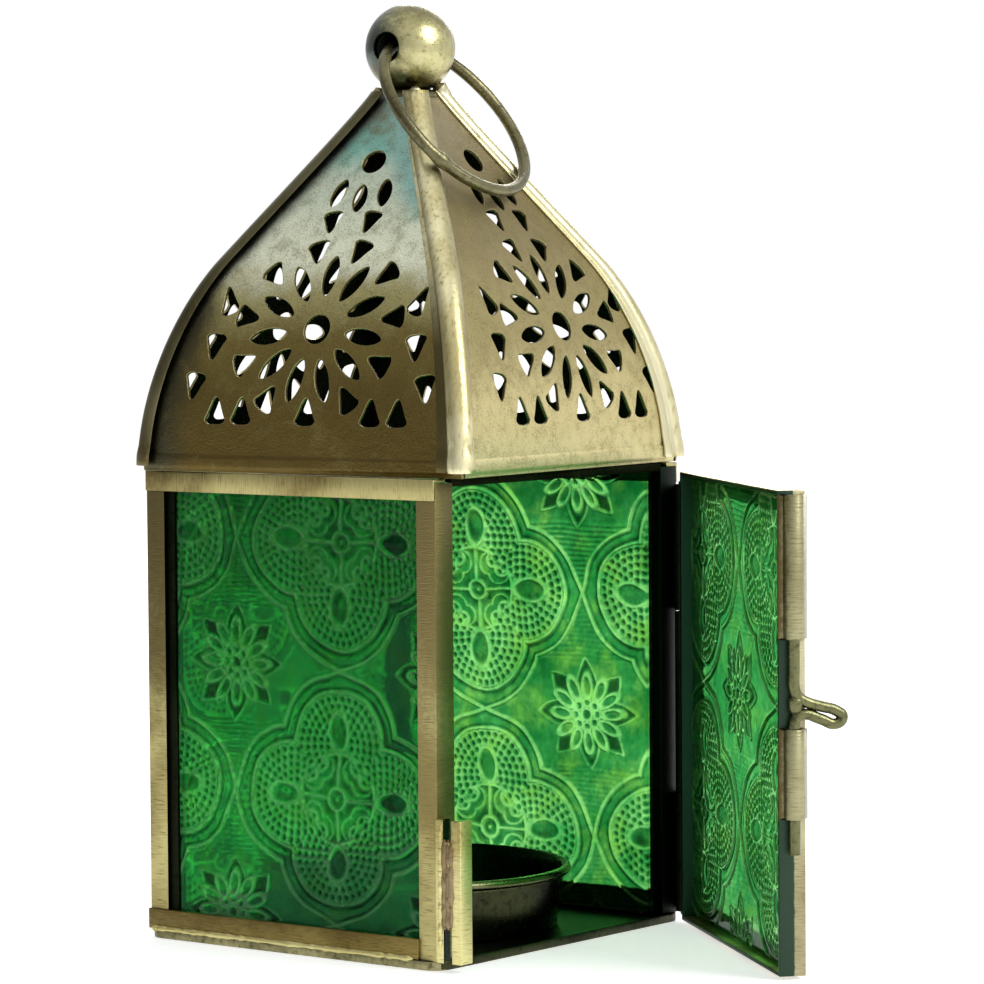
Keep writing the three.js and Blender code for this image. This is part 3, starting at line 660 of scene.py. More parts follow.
def flower(u, v):
    """Height, lightness and lines of the four-lobed flower round each lattice point."""
    x, y = np.abs(repeat(u)), np.abs(repeat(v))
    far, near = np.maximum(x, y), np.minimum(x, y)
    out = np.hypot(far, near)
    lobe = np.hypot(far - LOBE_OUT, near)
    inside = LOBE_RADIUS - lobe
    row = np.clip(np.floor((inside - 0.012) / BEAD_PITCH), 0, 5)
    row_radius = LOBE_RADIUS - 0.012 - (row + 0.5) * BEAD_PITCH
    count = np.maximum(np.round(math.pi * row_radius / BEAD_PITCH), 1)
    turn = np.arctan2(near, far - LOBE_OUT) / math.pi * count + 0.5 * (row % 2)
    beside = (turn % 1 - 0.5) * math.pi * row_radius / count
    bead = np.clip(np.hypot(beside, lobe - row_radius) / BEAD_RADIUS, 0, 1) ** 2
    petal = almond(far - 0.255, near, 0.078, 0.046 - 0.12 * np.clip(0.255 - far, 0, 0.2))
    curl = np.hypot(far - 0.128, near - 0.088)
    beaded = (inside > 0.01) & (petal > 0.004) & ((out > CORE_OUT) | (curl < 0.03))
    core = (inside > 0.01) & ~beaded
    dome = np.clip(1 - np.abs(out - 0.1) / 0.06, 0, 1)
    height = np.where(core, 0.15 + 0.35 * dome, 0.3)
    light = np.where(core, 0.12 + 0.22 * dome, 0.44)
    height = np.where(beaded, 0.75 * bead, height)
    light = np.where(beaded, 0.08 + 0.66 * bead, light)
    height = np.where(petal < 0, 0.1 + 12 * np.clip(-petal, 0, 0.05), height)
    light = np.where(petal < 0, 0.2 + 2.5 * np.clip(-petal, 0, 0.05), light)
    band = (inside < 0) & (rim(far, near) < 0)
    groove = np.maximum(ridge(inside + 0.014, 0.008), ridge(rim(far, near) + 0.012, 0.007))
    light = np.where(band, 0.46 - 0.34 * groove, light)
    height = np.where(band, 0.35 - 0.25 * groove, height)
    open_curl = (out > CORE_OUT - 0.02) & (inside > 0.01) & (curl > 0.03) & (petal > 0)
    lines = np.maximum.reduce([
        ridge(inside, 0.0078), ridge(rim(far, near), 0.0085), ridge(petal, 0.008),
        ridge(near, 0.008) * (far < 0.18) * (out > 0.04), ridge(out - 0.04, 0.0085),
        ridge(out - CORE_OUT, 0.008) * open_curl,
        ridge(curl - 0.032, 0.008) * (out < 0.178) * (petal > 0),
    ])
    lines = np.maximum(lines, 0.8 * ridge(np.hypot(far - 0.112, near - 0.07) - 0.047, 0.0065)
                       * ((out < CORE_OUT) & (petal > 0) & (curl > 0.03)))
    light = np.where(out < 0.032, 0.1 + 4 * out, light)
    return height, light, lines, rim(far, near)


def rosette(u, v):
    """Height, lightness and lines of the rosette in the field between four flowers."""
    x, y = u % 1 - 0.5, v % 1 - 0.5
    out, turn = np.hypot(x, y), np.arctan2(y, x)
    petals, beads, leaves = 12, 8, 8
    slice_turn = repeat(turn / (2 * math.pi) * petals) * 2 * math.pi / petals
    petal = almond(out * np.cos(slice_turn) - 0.117, out * np.sin(slice_turn), 0.048, 0.0215)
    bead_turn = repeat(turn / (2 * math.pi) * beads) * 2 * math.pi / beads
    bead = np.hypot(out * np.cos(bead_turn) - 0.051, out * np.sin(bead_turn))
    point = 1 - 2 * np.abs(repeat(turn / (2 * math.pi) * leaves))
    leaf = out - 0.13 - 0.1 * point
    hatch = 0.5 + 0.5 * np.sin(y * 2 * math.pi / 0.02)
    hatched = np.clip((np.abs(y) - 0.2) / 0.03, 0, 1)
    height = 0.2 + 0.2 * hatched * hatch
    light = 0.42 + 0.16 * hatched * (hatch - 0.5)
    shade = np.clip(-leaf / 0.03, 0, 1)
    light = np.where((leaf < 0) & (petal > 0), 0.28 - 0.21 * shade, light)
    light = np.where(petal < 0, 0.2 + 5 * np.clip(-petal, 0, 0.02), light)
    light = np.where(bead < 0.016, 0.13, light)
    light = np.where(out < 0.018, 0.13, light)
    lines = np.maximum.reduce([
        ridge(petal, 0.007), ridge(bead - 0.018, 0.007), ridge(out - 0.025, 0.007),
        0.7 * ridge(leaf, 0.0075) * (petal > 0),
    ])
    return height, light, lines


# This lightness is painted light: ridges and lines pale as painted highlights, beads, leaves and
# hollows dark as painted shade.
def pressed(u, v):
    """Height from 0 to 1 and lightness from 0 to 1 of the whole pattern."""
    u = u + 0.005 * np.sin(9 * u + 17 * v) + 0.001 * np.sin(41 * v - 17 * u)
    v = v + 0.005 * np.sin(11 * v - 14 * u + 1) + 0.001 * np.sin(37 * u + 29 * v)
    height, light, lines, outside = flower(u, v)
    field_height, field_light, field_lines = rosette(u, v)
    field = outside > 0
    height = np.where(field, field_height, height)
    light = np.where(field, field_light, light)
    lines = np.maximum(lines, np.where(outside > 0.01, field_lines, 0))
    return np.maximum(height, lines), light + (0.95 - light) * lines


def lightness(u, v):
    """Lightness of the glass: slopes that face away from the window look darker."""
    slope = pressed(u + 0.005, v + 0.005)[0] - pressed(u - 0.005, v - 0.005)[0]
    return np.clip(pressed(u, v)[1] - 0.3 * np.clip(slope, -1, 1), 0, 1)


# %% [markdown]
# A pane lies in its frame by a corner, the way across, the side that is pressed, and the
# pattern's own lattice, measured in the photograph. The pressed face is a fine grid.
# Extruding it backwards gives the cut edges and a smooth other face, which is dissolved into
# one, because a flat face needs no grid.

# %% Press and cut the panes
GRID = 0.21
RELIEF = 0.4


def pane(name, node, body, corner, across, size, lattice, finish):
    """corner is the lower left of the pressed face, seen from the side that is pressed."""
    corner, across = np.array(corner), np.array(across)
    pressed_way = np.cross(across, [0, 0, 1])
    wide, high, thick = size
    origin, step_across, step_up = (np.array(pair) for pair in lattice)
    basis = np.linalg.inv(np.array([step_across, step_up]).T)

    def lay(share_across, share_up):
        along, up = share_across * wide, share_up * high
        u, v = basis @ (np.stack([along, up + corner[2]]) - origin[:, None])
        edge = np.minimum.reduce([along, wide - along, up, high - up])
        height = pressed(u, v)[0] * np.clip(edge / 0.5, 0, 1) - 1
        place = corner + along[:, None] * across + up[:, None] * np.array([0, 0, 1])
        return place + (height * RELIEF)[:, None] * pressed_way

    piece = sheet(name, round(wide / GRID), round(high / GRID), lay)
    pressed_count = len(piece.data.vertices)

    def cut():
        bpy.ops.mesh.extrude_region_move(
            TRANSFORM_OT_translate={"value": Vector(-pressed_way * thick * MM)}
        )
        bpy.ops.mesh.dissolve_faces()
        bpy.ops.mesh.select_all(action="SELECT")
        bpy.ops.mesh.normals_make_consistent(inside=False)

    in_edit_mode(piece, cut)
    places = corners(piece)
    depth = (places - corner) @ pressed_way
    back = depth < RELIEF - thick - 1e-3
    places[back] += np.outer((-thick - depth)[back], pressed_way)
    set_corners(piece, places)
    along = (corners(piece) - corner) @ across
    up = corners(piece)[:, 2]
    u, v = basis @ (np.stack([along, up]) - origin[:, None])
    depth = (corners(piece) - corner) @ pressed_way
    light = np.where(depth > -thick * 0.6, lightness(u, v), 0.6)
    mark(piece, "light", light, "POINT")
    smooth(piece, 50)
    print(name, pressed_count, "corners pressed,", len(piece.data.polygons), "faces")
    return dress(piece, body, "green_glass", finish, node)


WARM_GREEN = (0.2, 0.55, 0.05)


def green_glass(name, shadow, middle, bright, deepen=0):
    """Coloured glass: painted shade where the pattern is deep, painted highlights on its ridges,
    with warm patches. deepen paints shade over the upper part of a pane."""
    recipe = Recipe(name, Roughness=0.06, IOR=1.2, Transmission_Weight=0.87)
    recipe.shader.inputs["Specular Tint"].default_value = (0.25, 0.6, 0.3, 1)
    light = recipe.attribute("light")
    clouds = recipe.noise(9, 4)
    patches = recipe.noise(1.6, 5, shift=0.4, roughness=0.65)
    uneven = light * 1.15 + clouds * 0.7 - 0.39 + patches * 0.6 - 0.33
    colour = recipe.blend(uneven.rise(0, 0.52), shadow, middle)
    colour = recipe.blend(uneven.rise(0.48, 1.05), colour, bright)
    warm = recipe.noise(5, 5, shift=0.7, roughness=0.6).rise(0.48, 0.64)
    colour = recipe.blend(warm * uneven.rise(0.1, 0.6) * 0.4, colour, WARM_GREEN)
    if deepen:
        x, y, z = recipe.parts()
        colour = recipe.blend((z + clouds * 20).rise(28, 78) * deepen, colour, shadow)
    recipe.feed(Base_Color=colour, Normal=recipe.bump(recipe.noise(2.5, 2), 0.04))
    return recipe.material


# One glass in three tones, set apart by how each pane is lit and what shows behind it: painted
# light and shade. The left pane is paler since light through it also passes a second pane.
glass = green_glass(
    "rolled_green_glass", (0.001, 0.012, 0.002), (0.006, 0.17, 0.027), (0.3, 0.8, 0.22)
)
side_glass = green_glass(
    "side_green_glass", (0.003, 0.035, 0.014), (0.06, 0.6, 0.2), (0.45, 1.0, 0.5), 0.5
)
door_glass = green_glass(
    "door_green_glass", (0.004, 0.045, 0.012), (0.02, 0.29, 0.06), (0.4, 0.95, 0.35)
)
for side, finish, (start, up), step_across, step_up in (
    ("left", side_glass, (10.01, 63.93), (41.6, -0.6), (1.06, 39.4)),
    ("right", glass, (-9.67, 52.06), (42.6, 0.4), (-2.37, 39.4)),
):
    low, high = box_of("glass_" + side)
    pane(
        "pane_" + side, "glass_" + side, "lantern", (low[0], high[1], low[2]),
        (0.0, -1.0, 0.0), (high[1] - low[1], high[2] - low[2], high[0] - low[0]),
        ((start + high[1], up), step_across, step_up), finish,
    )
low, high = box_of("glass_back")
pane(
    "pane_back", "glass_back", "lantern", (low[0], low[1], low[2]), (1.0, 0.0, 0.0),
    (high[0] - low[0], high[2] - low[2], high[1] - low[1]),
    ((12.0, 50.0), (42.0, 0.0), (0.0, 39.4)), glass,
)
DOOR_PANE_NEAR, DOOR_PANE_FAR, DOOR_PANE_FACE = 2.5, 57.7, -0.6
DOOR_PANE_FOOT, DOOR_PANE_HIGH, DOOR_PANE_THICK = 1.5, 70.0, 2.0
door_corner = DOOR_HINGE + DOOR_PANE_NEAR * door_along + DOOR_PANE_FACE * door_inward
pane(
    "pane_door", "door_glass", "door", (door_corner[0], door_corner[1], DOOR_PANE_FOOT),
    door_along, (DOOR_PANE_FAR - DOOR_PANE_NEAR, DOOR_PANE_HIGH, DOOR_PANE_THICK),
    ((10.4 - DOOR_PANE_NEAR, 60.1), (41.4, 0.0), (-0.3, 40.3)), door_glass,
)

# %% [markdown]
# ## The shape of the roof
# All four panels and ribs are bent to one outline: a skirt that rises almost straight, a
# shoulder, and a hollow neck. Two Bezier curves give it, as in the CAD model, here with more
# points. The whole roof was soldered on a little askew, so everything on it is turned at the
# end.

# %% Draw the outline
ROOF_TURN = math.radians(4.3)
ROOF_BASE = 74.0
ROOF_HEIGHT = 59.3
HALF_DEPTH = 30.1
HALF_WIDTH = 30.9
TOP_HALF = 3.7
SHEET = 0.6


def bezier(points, count):
    t = np.linspace(0, 1, count)[:, None]
    a, b, c, d = (np.array(point, float) for point in points)
    return (1 - t) ** 3 * a + 3 * (1 - t) ** 2 * t * b + 3 * (1 - t) * t ** 2 * c + t ** 3 * d


shoulder = (0.704, 0.547)
skirt = bezier([(1, 0), (1, 0.195), (0.87, 0.412), shoulder], 60)
neck = bezier([shoulder, (0.508, 0.698), (0.179, 0.942), (TOP_HALF / HALF_DEPTH, 1)], 60)
outline = np.vstack([skirt, neck[1:]]) * (HALF_DEPTH, ROOF_HEIGHT)


def wider(half):
    """Half the width of the roof where half its depth is given."""
    return TOP_HALF + (half - TOP_HALF) * (HALF_WIDTH - TOP_HALF) / (HALF_DEPTH - TOP_HALF)


def slope_of(out):
    """Length up the slope at each point of the outline, where the sheet lies out(half) away."""
    steps = np.hypot(np.diff(out(outline[:, 0])), np.diff(outline[:, 1]))
    return np.concatenate([[0], np.cumsum(steps)])


def turned_roof(places, quarter=0):
    """Turns places round the lantern: a quarter for each next side, and the roof's own twist."""
    angle = ROOF_TURN + quarter * math.pi / 2
    c, s = math.cos(angle), math.sin(angle)
    x, y, z = np.asarray(places, float).T
    return np.stack([c * x - s * y, s * x + c * y, z], 1)


print("roof slope", round(slope_of(lambda half: half)[-1], 1), "mm long")

# %% [markdown]
# ## Piercing
# Each panel is pierced with punches: a round one, a petal, a leaf and a wedge. Each punch is
# modelled once as an extruded outline and copied to its places in the rosette. The panel is
# cut while it is flat, as the tinsmith does, because flat holes stay true and the edges can
# be bevelled before the sheet is bent.

# %% Make the punches
STAR = 0.458 * HALF_DEPTH
ROSETTE_UP = 0.383 * ROOF_HEIGHT
PETALS = 11


def rounded(points, times=3):
    """Cuts the corners of a closed outline until it runs smoothly."""
    points = np.array(points, float)
    for _ in range(times):
        after = np.roll(points, -1, axis=0)
        points = np.stack([0.78 * points + 0.22 * after, 0.22 * points + 0.78 * after], 1)
        points = points.reshape(-1, 2)
    return points


def oval_outline(width, length, points=28):
    angle = np.linspace(0, 2 * math.pi, points, endpoint=False)
    pinch = 1 - 0.3 * np.abs(np.cos(angle)) ** 3
    return np.stack([width / 2 * np.sin(angle) * pinch, length / 2 * np.cos(angle)], 1) * STAR


def wedge_outline(width, length):
    half = np.array([
        (0.2, 1.04), (-0.2, 1.04), (-0.78, -0.3), (-1.04, -0.74), (-0.62, -1.05),
        (0.62, -1.05), (1.04, -0.74), (0.78, -0.3),
    ])
    return rounded(half * (width / 2 * STAR, length / 2 * STAR), 2)


def round_outline(radius):
    angle = np.linspace(0, 2 * math.pi, 32, endpoint=False)
    return np.stack([np.cos(angle), np.sin(angle)], 1) * radius * STAR


def punch(name, points):
    """An upright prism on an outline, to cut with."""
    deselect()
    bpy.ops.mesh.primitive_circle_add(vertices=len(points), fill_type="NGON")
    piece = named(name)
    set_corners(piece, np.column_stack([points, np.full(len(points), -2.0)]))

    def pull_up():
        bpy.ops.mesh.extrude_region_move(TRANSFORM_OT_translate={"value": (0, 0, 4 * MM)})
        bpy.ops.mesh.select_all(action="SELECT")
        bpy.ops.mesh.normals_make_consistent(inside=False)

    in_edit_mode(piece, pull_up)
    return piece


WEDGE = (0.283, 0.297)
punches = {
    "rosette": punch("punch_rosette", round_outline(0.174)),
    "crown": punch("punch_crown", round_outline(0.152)),
    "petal": punch("punch_petal", oval_outline(0.188, 0.507)),
    "leaf": punch("punch_leaf", oval_outline(0.181, 0.377)),
    "wedge": punch("punch_wedge", wedge_outline(*WEDGE)),
    "low_wedge": punch("punch_low_wedge", wedge_outline(0.85 * WEDGE[0], 1.15 * WEDGE[1])),
    "high_wedge": punch("punch_high_wedge", wedge_outline(0.9 * WEDGE[0], 0.95 * WEDGE[1])),
}

# %% Set out the holes of a panel
SIDE_HOLES = [
    ("low_wedge", 1.304, 0.341, -0.35), ("wedge", 1.377, -0.225, math.pi + 0.1),
    ("wedge", 1.58, -0.71, math.pi + 0.15), ("wedge", 1.246, -1, 0), ("wedge", 0.884, -1, 0),
    ("high_wedge", 0.261, 1.37, math.pi - 0.15), ("leaf", 0.312, 1.768, 0.18),
]


def hole_places():
    """Punch, place across and up in star radii, and turn of every hole of a panel."""
    yield "rosette", 0, 0, 0
    yield "crown", 0, 2.197, 0
    yield "leaf", 0, 1.696, 0.12
    for count in range(PETALS):
        turn = count / PETALS * 2 * math.pi
        between = turn + math.pi / PETALS
        yield "petal", -0.652 * math.sin(turn), 0.652 * math.cos(turn), turn
        yield "wedge", -math.sin(between), math.cos(between), between + math.pi
    for side in (-1, 1):
        for kind, across, up, turn in SIDE_HOLES:
            yield kind, side * across, up, side * turn


def set_of_punches(slip, skew):
    """All punches of a panel as one piece, slipped and skewed as the maker placed them."""
    copies = []
    for kind, across, up, turn in hole_places():
        copy = bpy.data.objects.new("cut", punches[kind].data.copy())
        bpy.context.scene.collection.objects.link(copy)
        place = Vector((
            (across + slip - skew * up) * STAR,
            ROSETTE_UP + (0.95 if up < 0 else 1) * up * STAR,
            0,
        )) * MM
        copy.data.transform(Matrix.Translation(place) @ Matrix.Rotation(turn, 4, "Z"))
        copies.append(copy)
    deselect()
    for copy in copies:
        copy.select_set(True)
    bpy.context.view_layer.objects.active = copies[0]
    bpy.ops.object.join()
    return copies[0]


# %% [markdown]
# Bending comes last. The flat panel is sliced into narrow bands with bisect, so that it has
# corners to bend at, and every corner then moves from the flat sheet to the outline. The
# strip along the foot is folded outwards as a hem.

# %% Cut, bevel and bend a panel
HEM_LOW, HEM_HIGH, HEM_OUT = 0.8, 2.6, 0.22


def hem_at(length):
    """How far the folded hem stands out at a length up the slope."""
    rise = np.interp(length, [0, HEM_LOW - 0.25, HEM_LOW + 0.1, HEM_HIGH - 0.2, HEM_HIGH + 0.15],
                     [0, 0, 1, 1, 0])
    return HEM_OUT * np.sqrt(np.clip(rise, 0, 1))


def roof_panel(name, quarter, width_of, out_of, end_gap, slip, skew, finish):
    slope = slope_of(out_of)
    total = slope[-1]
    wide = width_of(outline[:, 0]) - end_gap

    def flat(share_across, share_up):
        length = share_up * total
        half = np.interp(length, slope, wide)
        return np.stack([(2 * share_across - 1) * half, length, 0 * half], 1)

    piece = sheet(name, 1, 60, flat)
    in_edit_mode(
        piece,
        lambda: bpy.ops.mesh.dissolve_limited(angle_limit=math.radians(0.1)),
    )
    in_edit_mode(piece, lambda: bpy.ops.mesh.dissolve_faces())
    modify(piece, "SOLIDIFY", thickness=SHEET * MM, offset=-1)
    cut = set_of_punches(slip, skew)
    modify(piece, "BOOLEAN", operation="DIFFERENCE", object=cut, solver="EXACT")
    bpy.data.objects.remove(cut)
    modify(
        piece, "BEVEL", width=0.09 * MM, segments=1, limit_method="ANGLE",
        angle_limit=math.radians(60), use_clamp_overlap=False,
    )
    bands = [0.4, HEM_LOW - 0.2, HEM_LOW, HEM_LOW + 0.2, 1.7, HEM_HIGH - 0.2, HEM_HIGH,
             HEM_HIGH + 0.2, *np.arange(3.6, total - 0.5, 0.9)]

    def slice_all():
        for length in bands:
            bpy.ops.mesh.select_all(action="SELECT")
            bpy.ops.mesh.bisect(plane_co=(0, length * MM, 0), plane_no=(0, 1, 0))

    in_edit_mode(piece, slice_all)
    middles, ways = faces(piece)
    walls = np.where(ways[:, 2] < -0.5, 2, np.abs(ways[:, 2]) < 0.9)
    places = corners(piece)
    length = np.clip(places[:, 1], 0, total)
    half = np.interp(length, slope, outline[:, 0])
    height = np.interp(length, slope, outline[:, 1])
    rise = np.gradient(outline[:, 1], slope)
    away = -np.gradient(out_of(outline[:, 0]), slope)
    up_part, out_part = np.interp(length, slope, rise), np.interp(length, slope, away)
    size = np.hypot(up_part, out_part)
    depth = places[:, 2] + np.where(places[:, 2] > -0.3, hem_at(length), 0)
    bent = np.stack([
        places[:, 0],
        -out_of(half) - depth * up_part / size,
        ROOF_BASE + height + depth * out_part / size,
    ], 1)
    set_corners(piece, turned_roof(bent, quarter))
    # The underside of the sheet gets the painted shade metal, for the dark inside of the roof seen
    # through the holes; the cut walls get cut_metal.
    coat(piece, finish, cut_metal, painted_shade_metal)
    piece.data.polygons.foreach_set("material_index", walls.astype(np.int32))
    smooth(piece, 30)
    dress(piece, "lantern", "brass_roof", None, "roof_" + name)
    print(name, len(piece.data.polygons), "faces")
    return piece


# %% [markdown]
# ## Roof finish
# The roof metal is darker and browner than the strips. Heat from the soldering left a cool tint
# high on the left panel, and the foot is deep brown. The pale sage band under the tint is a
# painted reflection of the light above, and dark strips beside the back-left rib are its painted
# shadow. The pale foot of the other panels is partly their own tan, partly a painted highlight.
# The colours follow the height on the roof, and noise moves the borders so that no line shows.

# %% The roof brass
def roof_brass(name, tones, hip_strips, rough):
    """tones are (height share where it is full, colour) from the foot up; the strips along a hip
    are (direction, widest, narrowest, lowest, highest, colour)."""
    recipe = Recipe(name, Metallic=1)
    x, y, z = recipe.parts()
    clouds = recipe.noise(12, 4)
    mottle = recipe.noise(2.2, 4, shift=0.2)
    sand = recipe.noise(0.3, 3)
    height = (z - ROOF_BASE) * (1 / ROOF_HEIGHT) + clouds * 0.2 - 0.1 + mottle * 0.1 - 0.05
    before, colour = tones[0]
    for full, tone in tones[1:]:
        colour = recipe.blend(height.rise(before, full), colour, tone)
        before = full
    for way, widest, narrowest, lowest, highest, tone in hip_strips:
        way = turned_roof([(*way, 0)])[0]
        off = x * float(way[0]) + y * float(way[1]) + clouds * 5 + mottle * 2 - 3.5
        share = off.rise(widest, narrowest) * height.rise(lowest, highest)
        colour = recipe.blend(share, colour, tone)
    golden = (mottle * 0.5 + clouds * 0.5).rise(0.5, 0.66) * 0.22
    colour = recipe.blend(golden, colour, (0.42, 0.36, 0.13))
    speckle = (mottle * 0.4 + sand * 0.6).rise(0.46, 0.64) * 0.6
    colour = recipe.blend(speckle, colour, recipe.blend(0.62, colour, (0.07, 0.05, 0.02)))
    recipe.feed(
        Base_Color=colour,
        Roughness=rough + 0.2 * mottle - 0.1,
        Normal=recipe.bump(sand * 0.6 + mottle * 0.6 + clouds * 1.5, 0.13),
    )
    return recipe.material


# Strips along the hips: a cool heat tint by the front hip, then painted shadow of the back-left
# rib, narrow the whole way up and wider low down. The pale sage tones are a painted reflection.
roof_left = roof_brass(
    "roof_brass_left",
    [(0.0, (0.125, 0.088, 0.025)), (0.16, (0.175, 0.127, 0.037)), (0.34, (0.26, 0.2, 0.06)),
     (0.46, (0.5, 0.45, 0.2)), (0.56, (0.92, 0.95, 0.72)), (0.76, (0.66, 0.74, 0.58)),
     (0.86, (0.26, 0.55, 0.46)), (0.97, (0.2, 0.19, 0.12))],
    [((-1, 1), 9, 4.5, 0.64, 0.74, (0.33, 0.56, 0.49)),
     ((-1, -1), 6, 1.5, -1, -0.9, (0.1, 0.12, 0.1)),
     ((-1, -1), 10, 3, 0.52, 0.36, (0.075, 0.07, 0.038))],
    0.36,
)
# The pale foot is partly the metal's own tan and partly a painted highlight from the key lamp.
roof_front = roof_brass(
    "roof_brass_front",
    [(0.0, (0.66, 0.6, 0.32)), (0.13, (0.6, 0.52, 0.26)), (0.36, (0.32, 0.27, 0.12)),
     (0.7, (0.21, 0.17, 0.075)), (0.95, (0.27, 0.23, 0.14))],
    [], 0.46,
)


def same(half):
    return half


RIB_GAP = 0.3
roof_panel("panel_front", 0, wider, same, SHEET + RIB_GAP, 0.24, 0.05, roof_front)
roof_panel("panel_right", 1, same, wider, 0, 0, 0, roof_front)
roof_panel("panel_back", 2, wider, same, SHEET + RIB_GAP, 0, 0, roof_front)
roof_panel("panel_left", 3, same, wider, 0, 0.04, 0, roof_left)
for cutter in punches.values():
    bpy.data.objects.remove(cutter)

# %% [markdown]
# ## Hip ribs
# A rib is a strip with a half-round crown pressed along it. It hides the joint between two
# panels, and it is folded unevenly: a broad leg lies on one panel and a short one on the next,
# the same way round the whole roof. The section is laid out as two legs and a round corner,
# and the grid carries it up the outline before Solidify gives it the thickness of the sheet.

# %% Bend the ribs
RIB_SHEET = 0.35
CROWN = 0.95
CROWN_HALF = 2.1
CORNER = 1.0
HEM_FADE = 1.5
BROAD_FOOT, BROAD_TOP, SHORT_LEG = 4.4, 2.6, 1.9
LEG_GAP = 0.08
RIB_COLUMNS, RIB_ROWS = 36, 72


def rib_section(share, leg_p, leg_q, hem):
    """Places (p, q) across a rib, out from the corner of the two panels, and the place along."""
    arc = math.pi * CORNER / 2
    along = -(leg_p - CORNER) - arc / 2 + share * (leg_p + leg_q - 2 * CORNER + arc)
    crown = CROWN * np.sqrt(np.clip(1 - (along / CROWN_HALF) ** 2, 0, 1))
    off = LEG_GAP + hem + RIB_SHEET + crown
    angle = math.pi / 2 - (np.clip(along, -arc / 2, arc / 2) + arc / 2) / CORNER
    p = -CORNER + (CORNER + off) * np.cos(angle) - np.clip(-arc / 2 - along, 0, None)
    q = -CORNER + (CORNER + off) * np.sin(angle) - np.clip(along - arc / 2, 0, None)
    return p, q, along


def hip_rib(name, side_x, side_y):
    low_share = HEM_LOW / ROOF_HEIGHT
    broad_p = side_x * side_y < 0

    def lay(share_across, share_up):
        height = (low_share + (1 - low_share) * share_up) * ROOF_HEIGHT
        half = np.interp(height, outline[:, 1], outline[:, 0])
        broad = BROAD_FOOT + (BROAD_TOP - BROAD_FOOT) * height / ROOF_HEIGHT
        short = SHORT_LEG + 0 * height
        legs = (broad, short) if broad_p else (short, broad)
        hem = HEM_OUT * np.clip((HEM_HIGH + HEM_FADE - height) / HEM_FADE, 0, 1)
        p, q, along = rib_section(share_across, *legs, hem)
        return turned_roof(np.stack([
            side_x * (wider(half) + p), side_y * (half + q), ROOF_BASE + height
        ], 1))

    piece = sheet(name, RIB_COLUMNS, RIB_ROWS, lay)
    across = np.tile(np.linspace(0, 1, RIB_COLUMNS + 1), RIB_ROWS + 1)
    leg = np.where(broad_p, 1 - across, across)
    up = np.repeat(np.linspace(0, 1, RIB_ROWS + 1), RIB_COLUMNS + 1)
    # These marks choose where a rib's finish paints light: over one leg, strongest low down, and
    # at half strength on the far side of the crown above the foot.
    dark = np.clip((leg - 0.55) / 0.11, 0, 1) * np.clip((0.62 - up) / 0.3, 0.25, 1)
    far_side = 0.5 * np.clip((0.38 - leg) / 0.1, 0, 1) * np.clip((up - 0.12) / 0.2, 0, 1)
    mark(piece, "inside", np.maximum(dark, far_side), "POINT")
    outwards = turned_roof(np.array([[side_x, side_y, 0.6]]))[0]
    if (faces(piece)[1] @ outwards).sum() < 0:
        in_edit_mode(piece, lambda: bpy.ops.mesh.flip_normals())
    modify(piece, "SOLIDIFY", thickness=RIB_SHEET * MM, offset=-1)
    modify(
        piece, "BEVEL", width=0.08 * MM, segments=2, limit_method="ANGLE",
        angle_limit=math.radians(60), use_clamp_overlap=True,
    )
    smooth(piece, 50)
    return piece


def rib_brass(name, light, deep, leg_tone):
    return brass(
        name, light, deep, (0.26, 0.21, 0.09), (1.5, 1.5, 0.4), rough=0.28, stained=0.35,
        painted_tone=leg_tone, relief=0.05,
    )


# One rib brass in lit and shaded copies. front_rib has a pale crown as a painted highlight and
# painted shade on its marked leg; bright_rib is a painted highlight with its marked leg palest;
# shaded_rib is painted shade all over.
front_rib = rib_brass("front_rib", (0.9, 0.85, 0.54), (0.54, 0.47, 0.22), (0.13, 0.105, 0.04))
bright_rib = rib_brass("bright_rib", (0.7, 0.66, 0.42), (0.5, 0.45, 0.24), (0.7, 0.66, 0.45))
shaded_rib = rib_brass("shaded_rib", (0.24, 0.22, 0.12), (0.12, 0.1, 0.045), (0.03, 0.03, 0.014))
rib_finishes = {"front_left": front_rib, "back_left": shaded_rib}
for side_x, x_name in ((-1, "left"), (1, "right")):
    for side_y, y_name in ((-1, "front"), (1, "back")):
        place = f"{y_name}_{x_name}"
        rib = hip_rib("rib_" + place, side_x, side_y)
        finish = rib_finishes.get(place, bright_rib)
        dress(rib, "lantern", "brass_strip", finish, "hip_rib_" + place)

# %% [markdown]
# ## Turned pieces: ball and cup
# The ball and the cup are round, so each is one outline spun about its axis. The ball's axis
# is its cross hole, which gives a clean round edge at the bore with no boolean at all.

# %% Spin an outline
def turned(name, profile, closed, steps):
    """Spins an outline about Z. Points are (out, up) in millimetres."""
    deselect()
    count = len(profile)
    bpy.ops.mesh.primitive_circle_add(vertices=count, fill_type="NOTHING")
    piece = named(name)
    set_corners(piece, [(out, 0, up) for out, up in profile])
    work_on(piece)
    bpy.ops.object.mode_set(mode="EDIT")
    if not closed:
        bpy.ops.mesh.select_all(action="DESELECT")
        bpy.ops.object.mode_set(mode="OBJECT")
        for edge in piece.data.edges:
            edge.select = set(edge.vertices) == {0, count - 1}
        bpy.ops.object.mode_set(mode="EDIT")
        bpy.ops.mesh.select_mode(type="EDGE")
        bpy.ops.mesh.delete(type="EDGE_FACE")
        bpy.ops.mesh.select_mode(type="VERT")
    bpy.ops.mesh.select_all(action="SELECT")
    bpy.ops.mesh.spin(steps=steps, angle=2 * math.pi, center=(0, 0, 0), axis=(0, 0, 1))
    bpy.ops.mesh.select_all(action="SELECT")
    bpy.ops.mesh.remove_doubles(threshold=1e-6)
    bpy.ops.mesh.normals_make_consistent(inside=False)
    bpy.ops.object.mode_set(mode="OBJECT")
    smooth(piece, 60)
    return piece


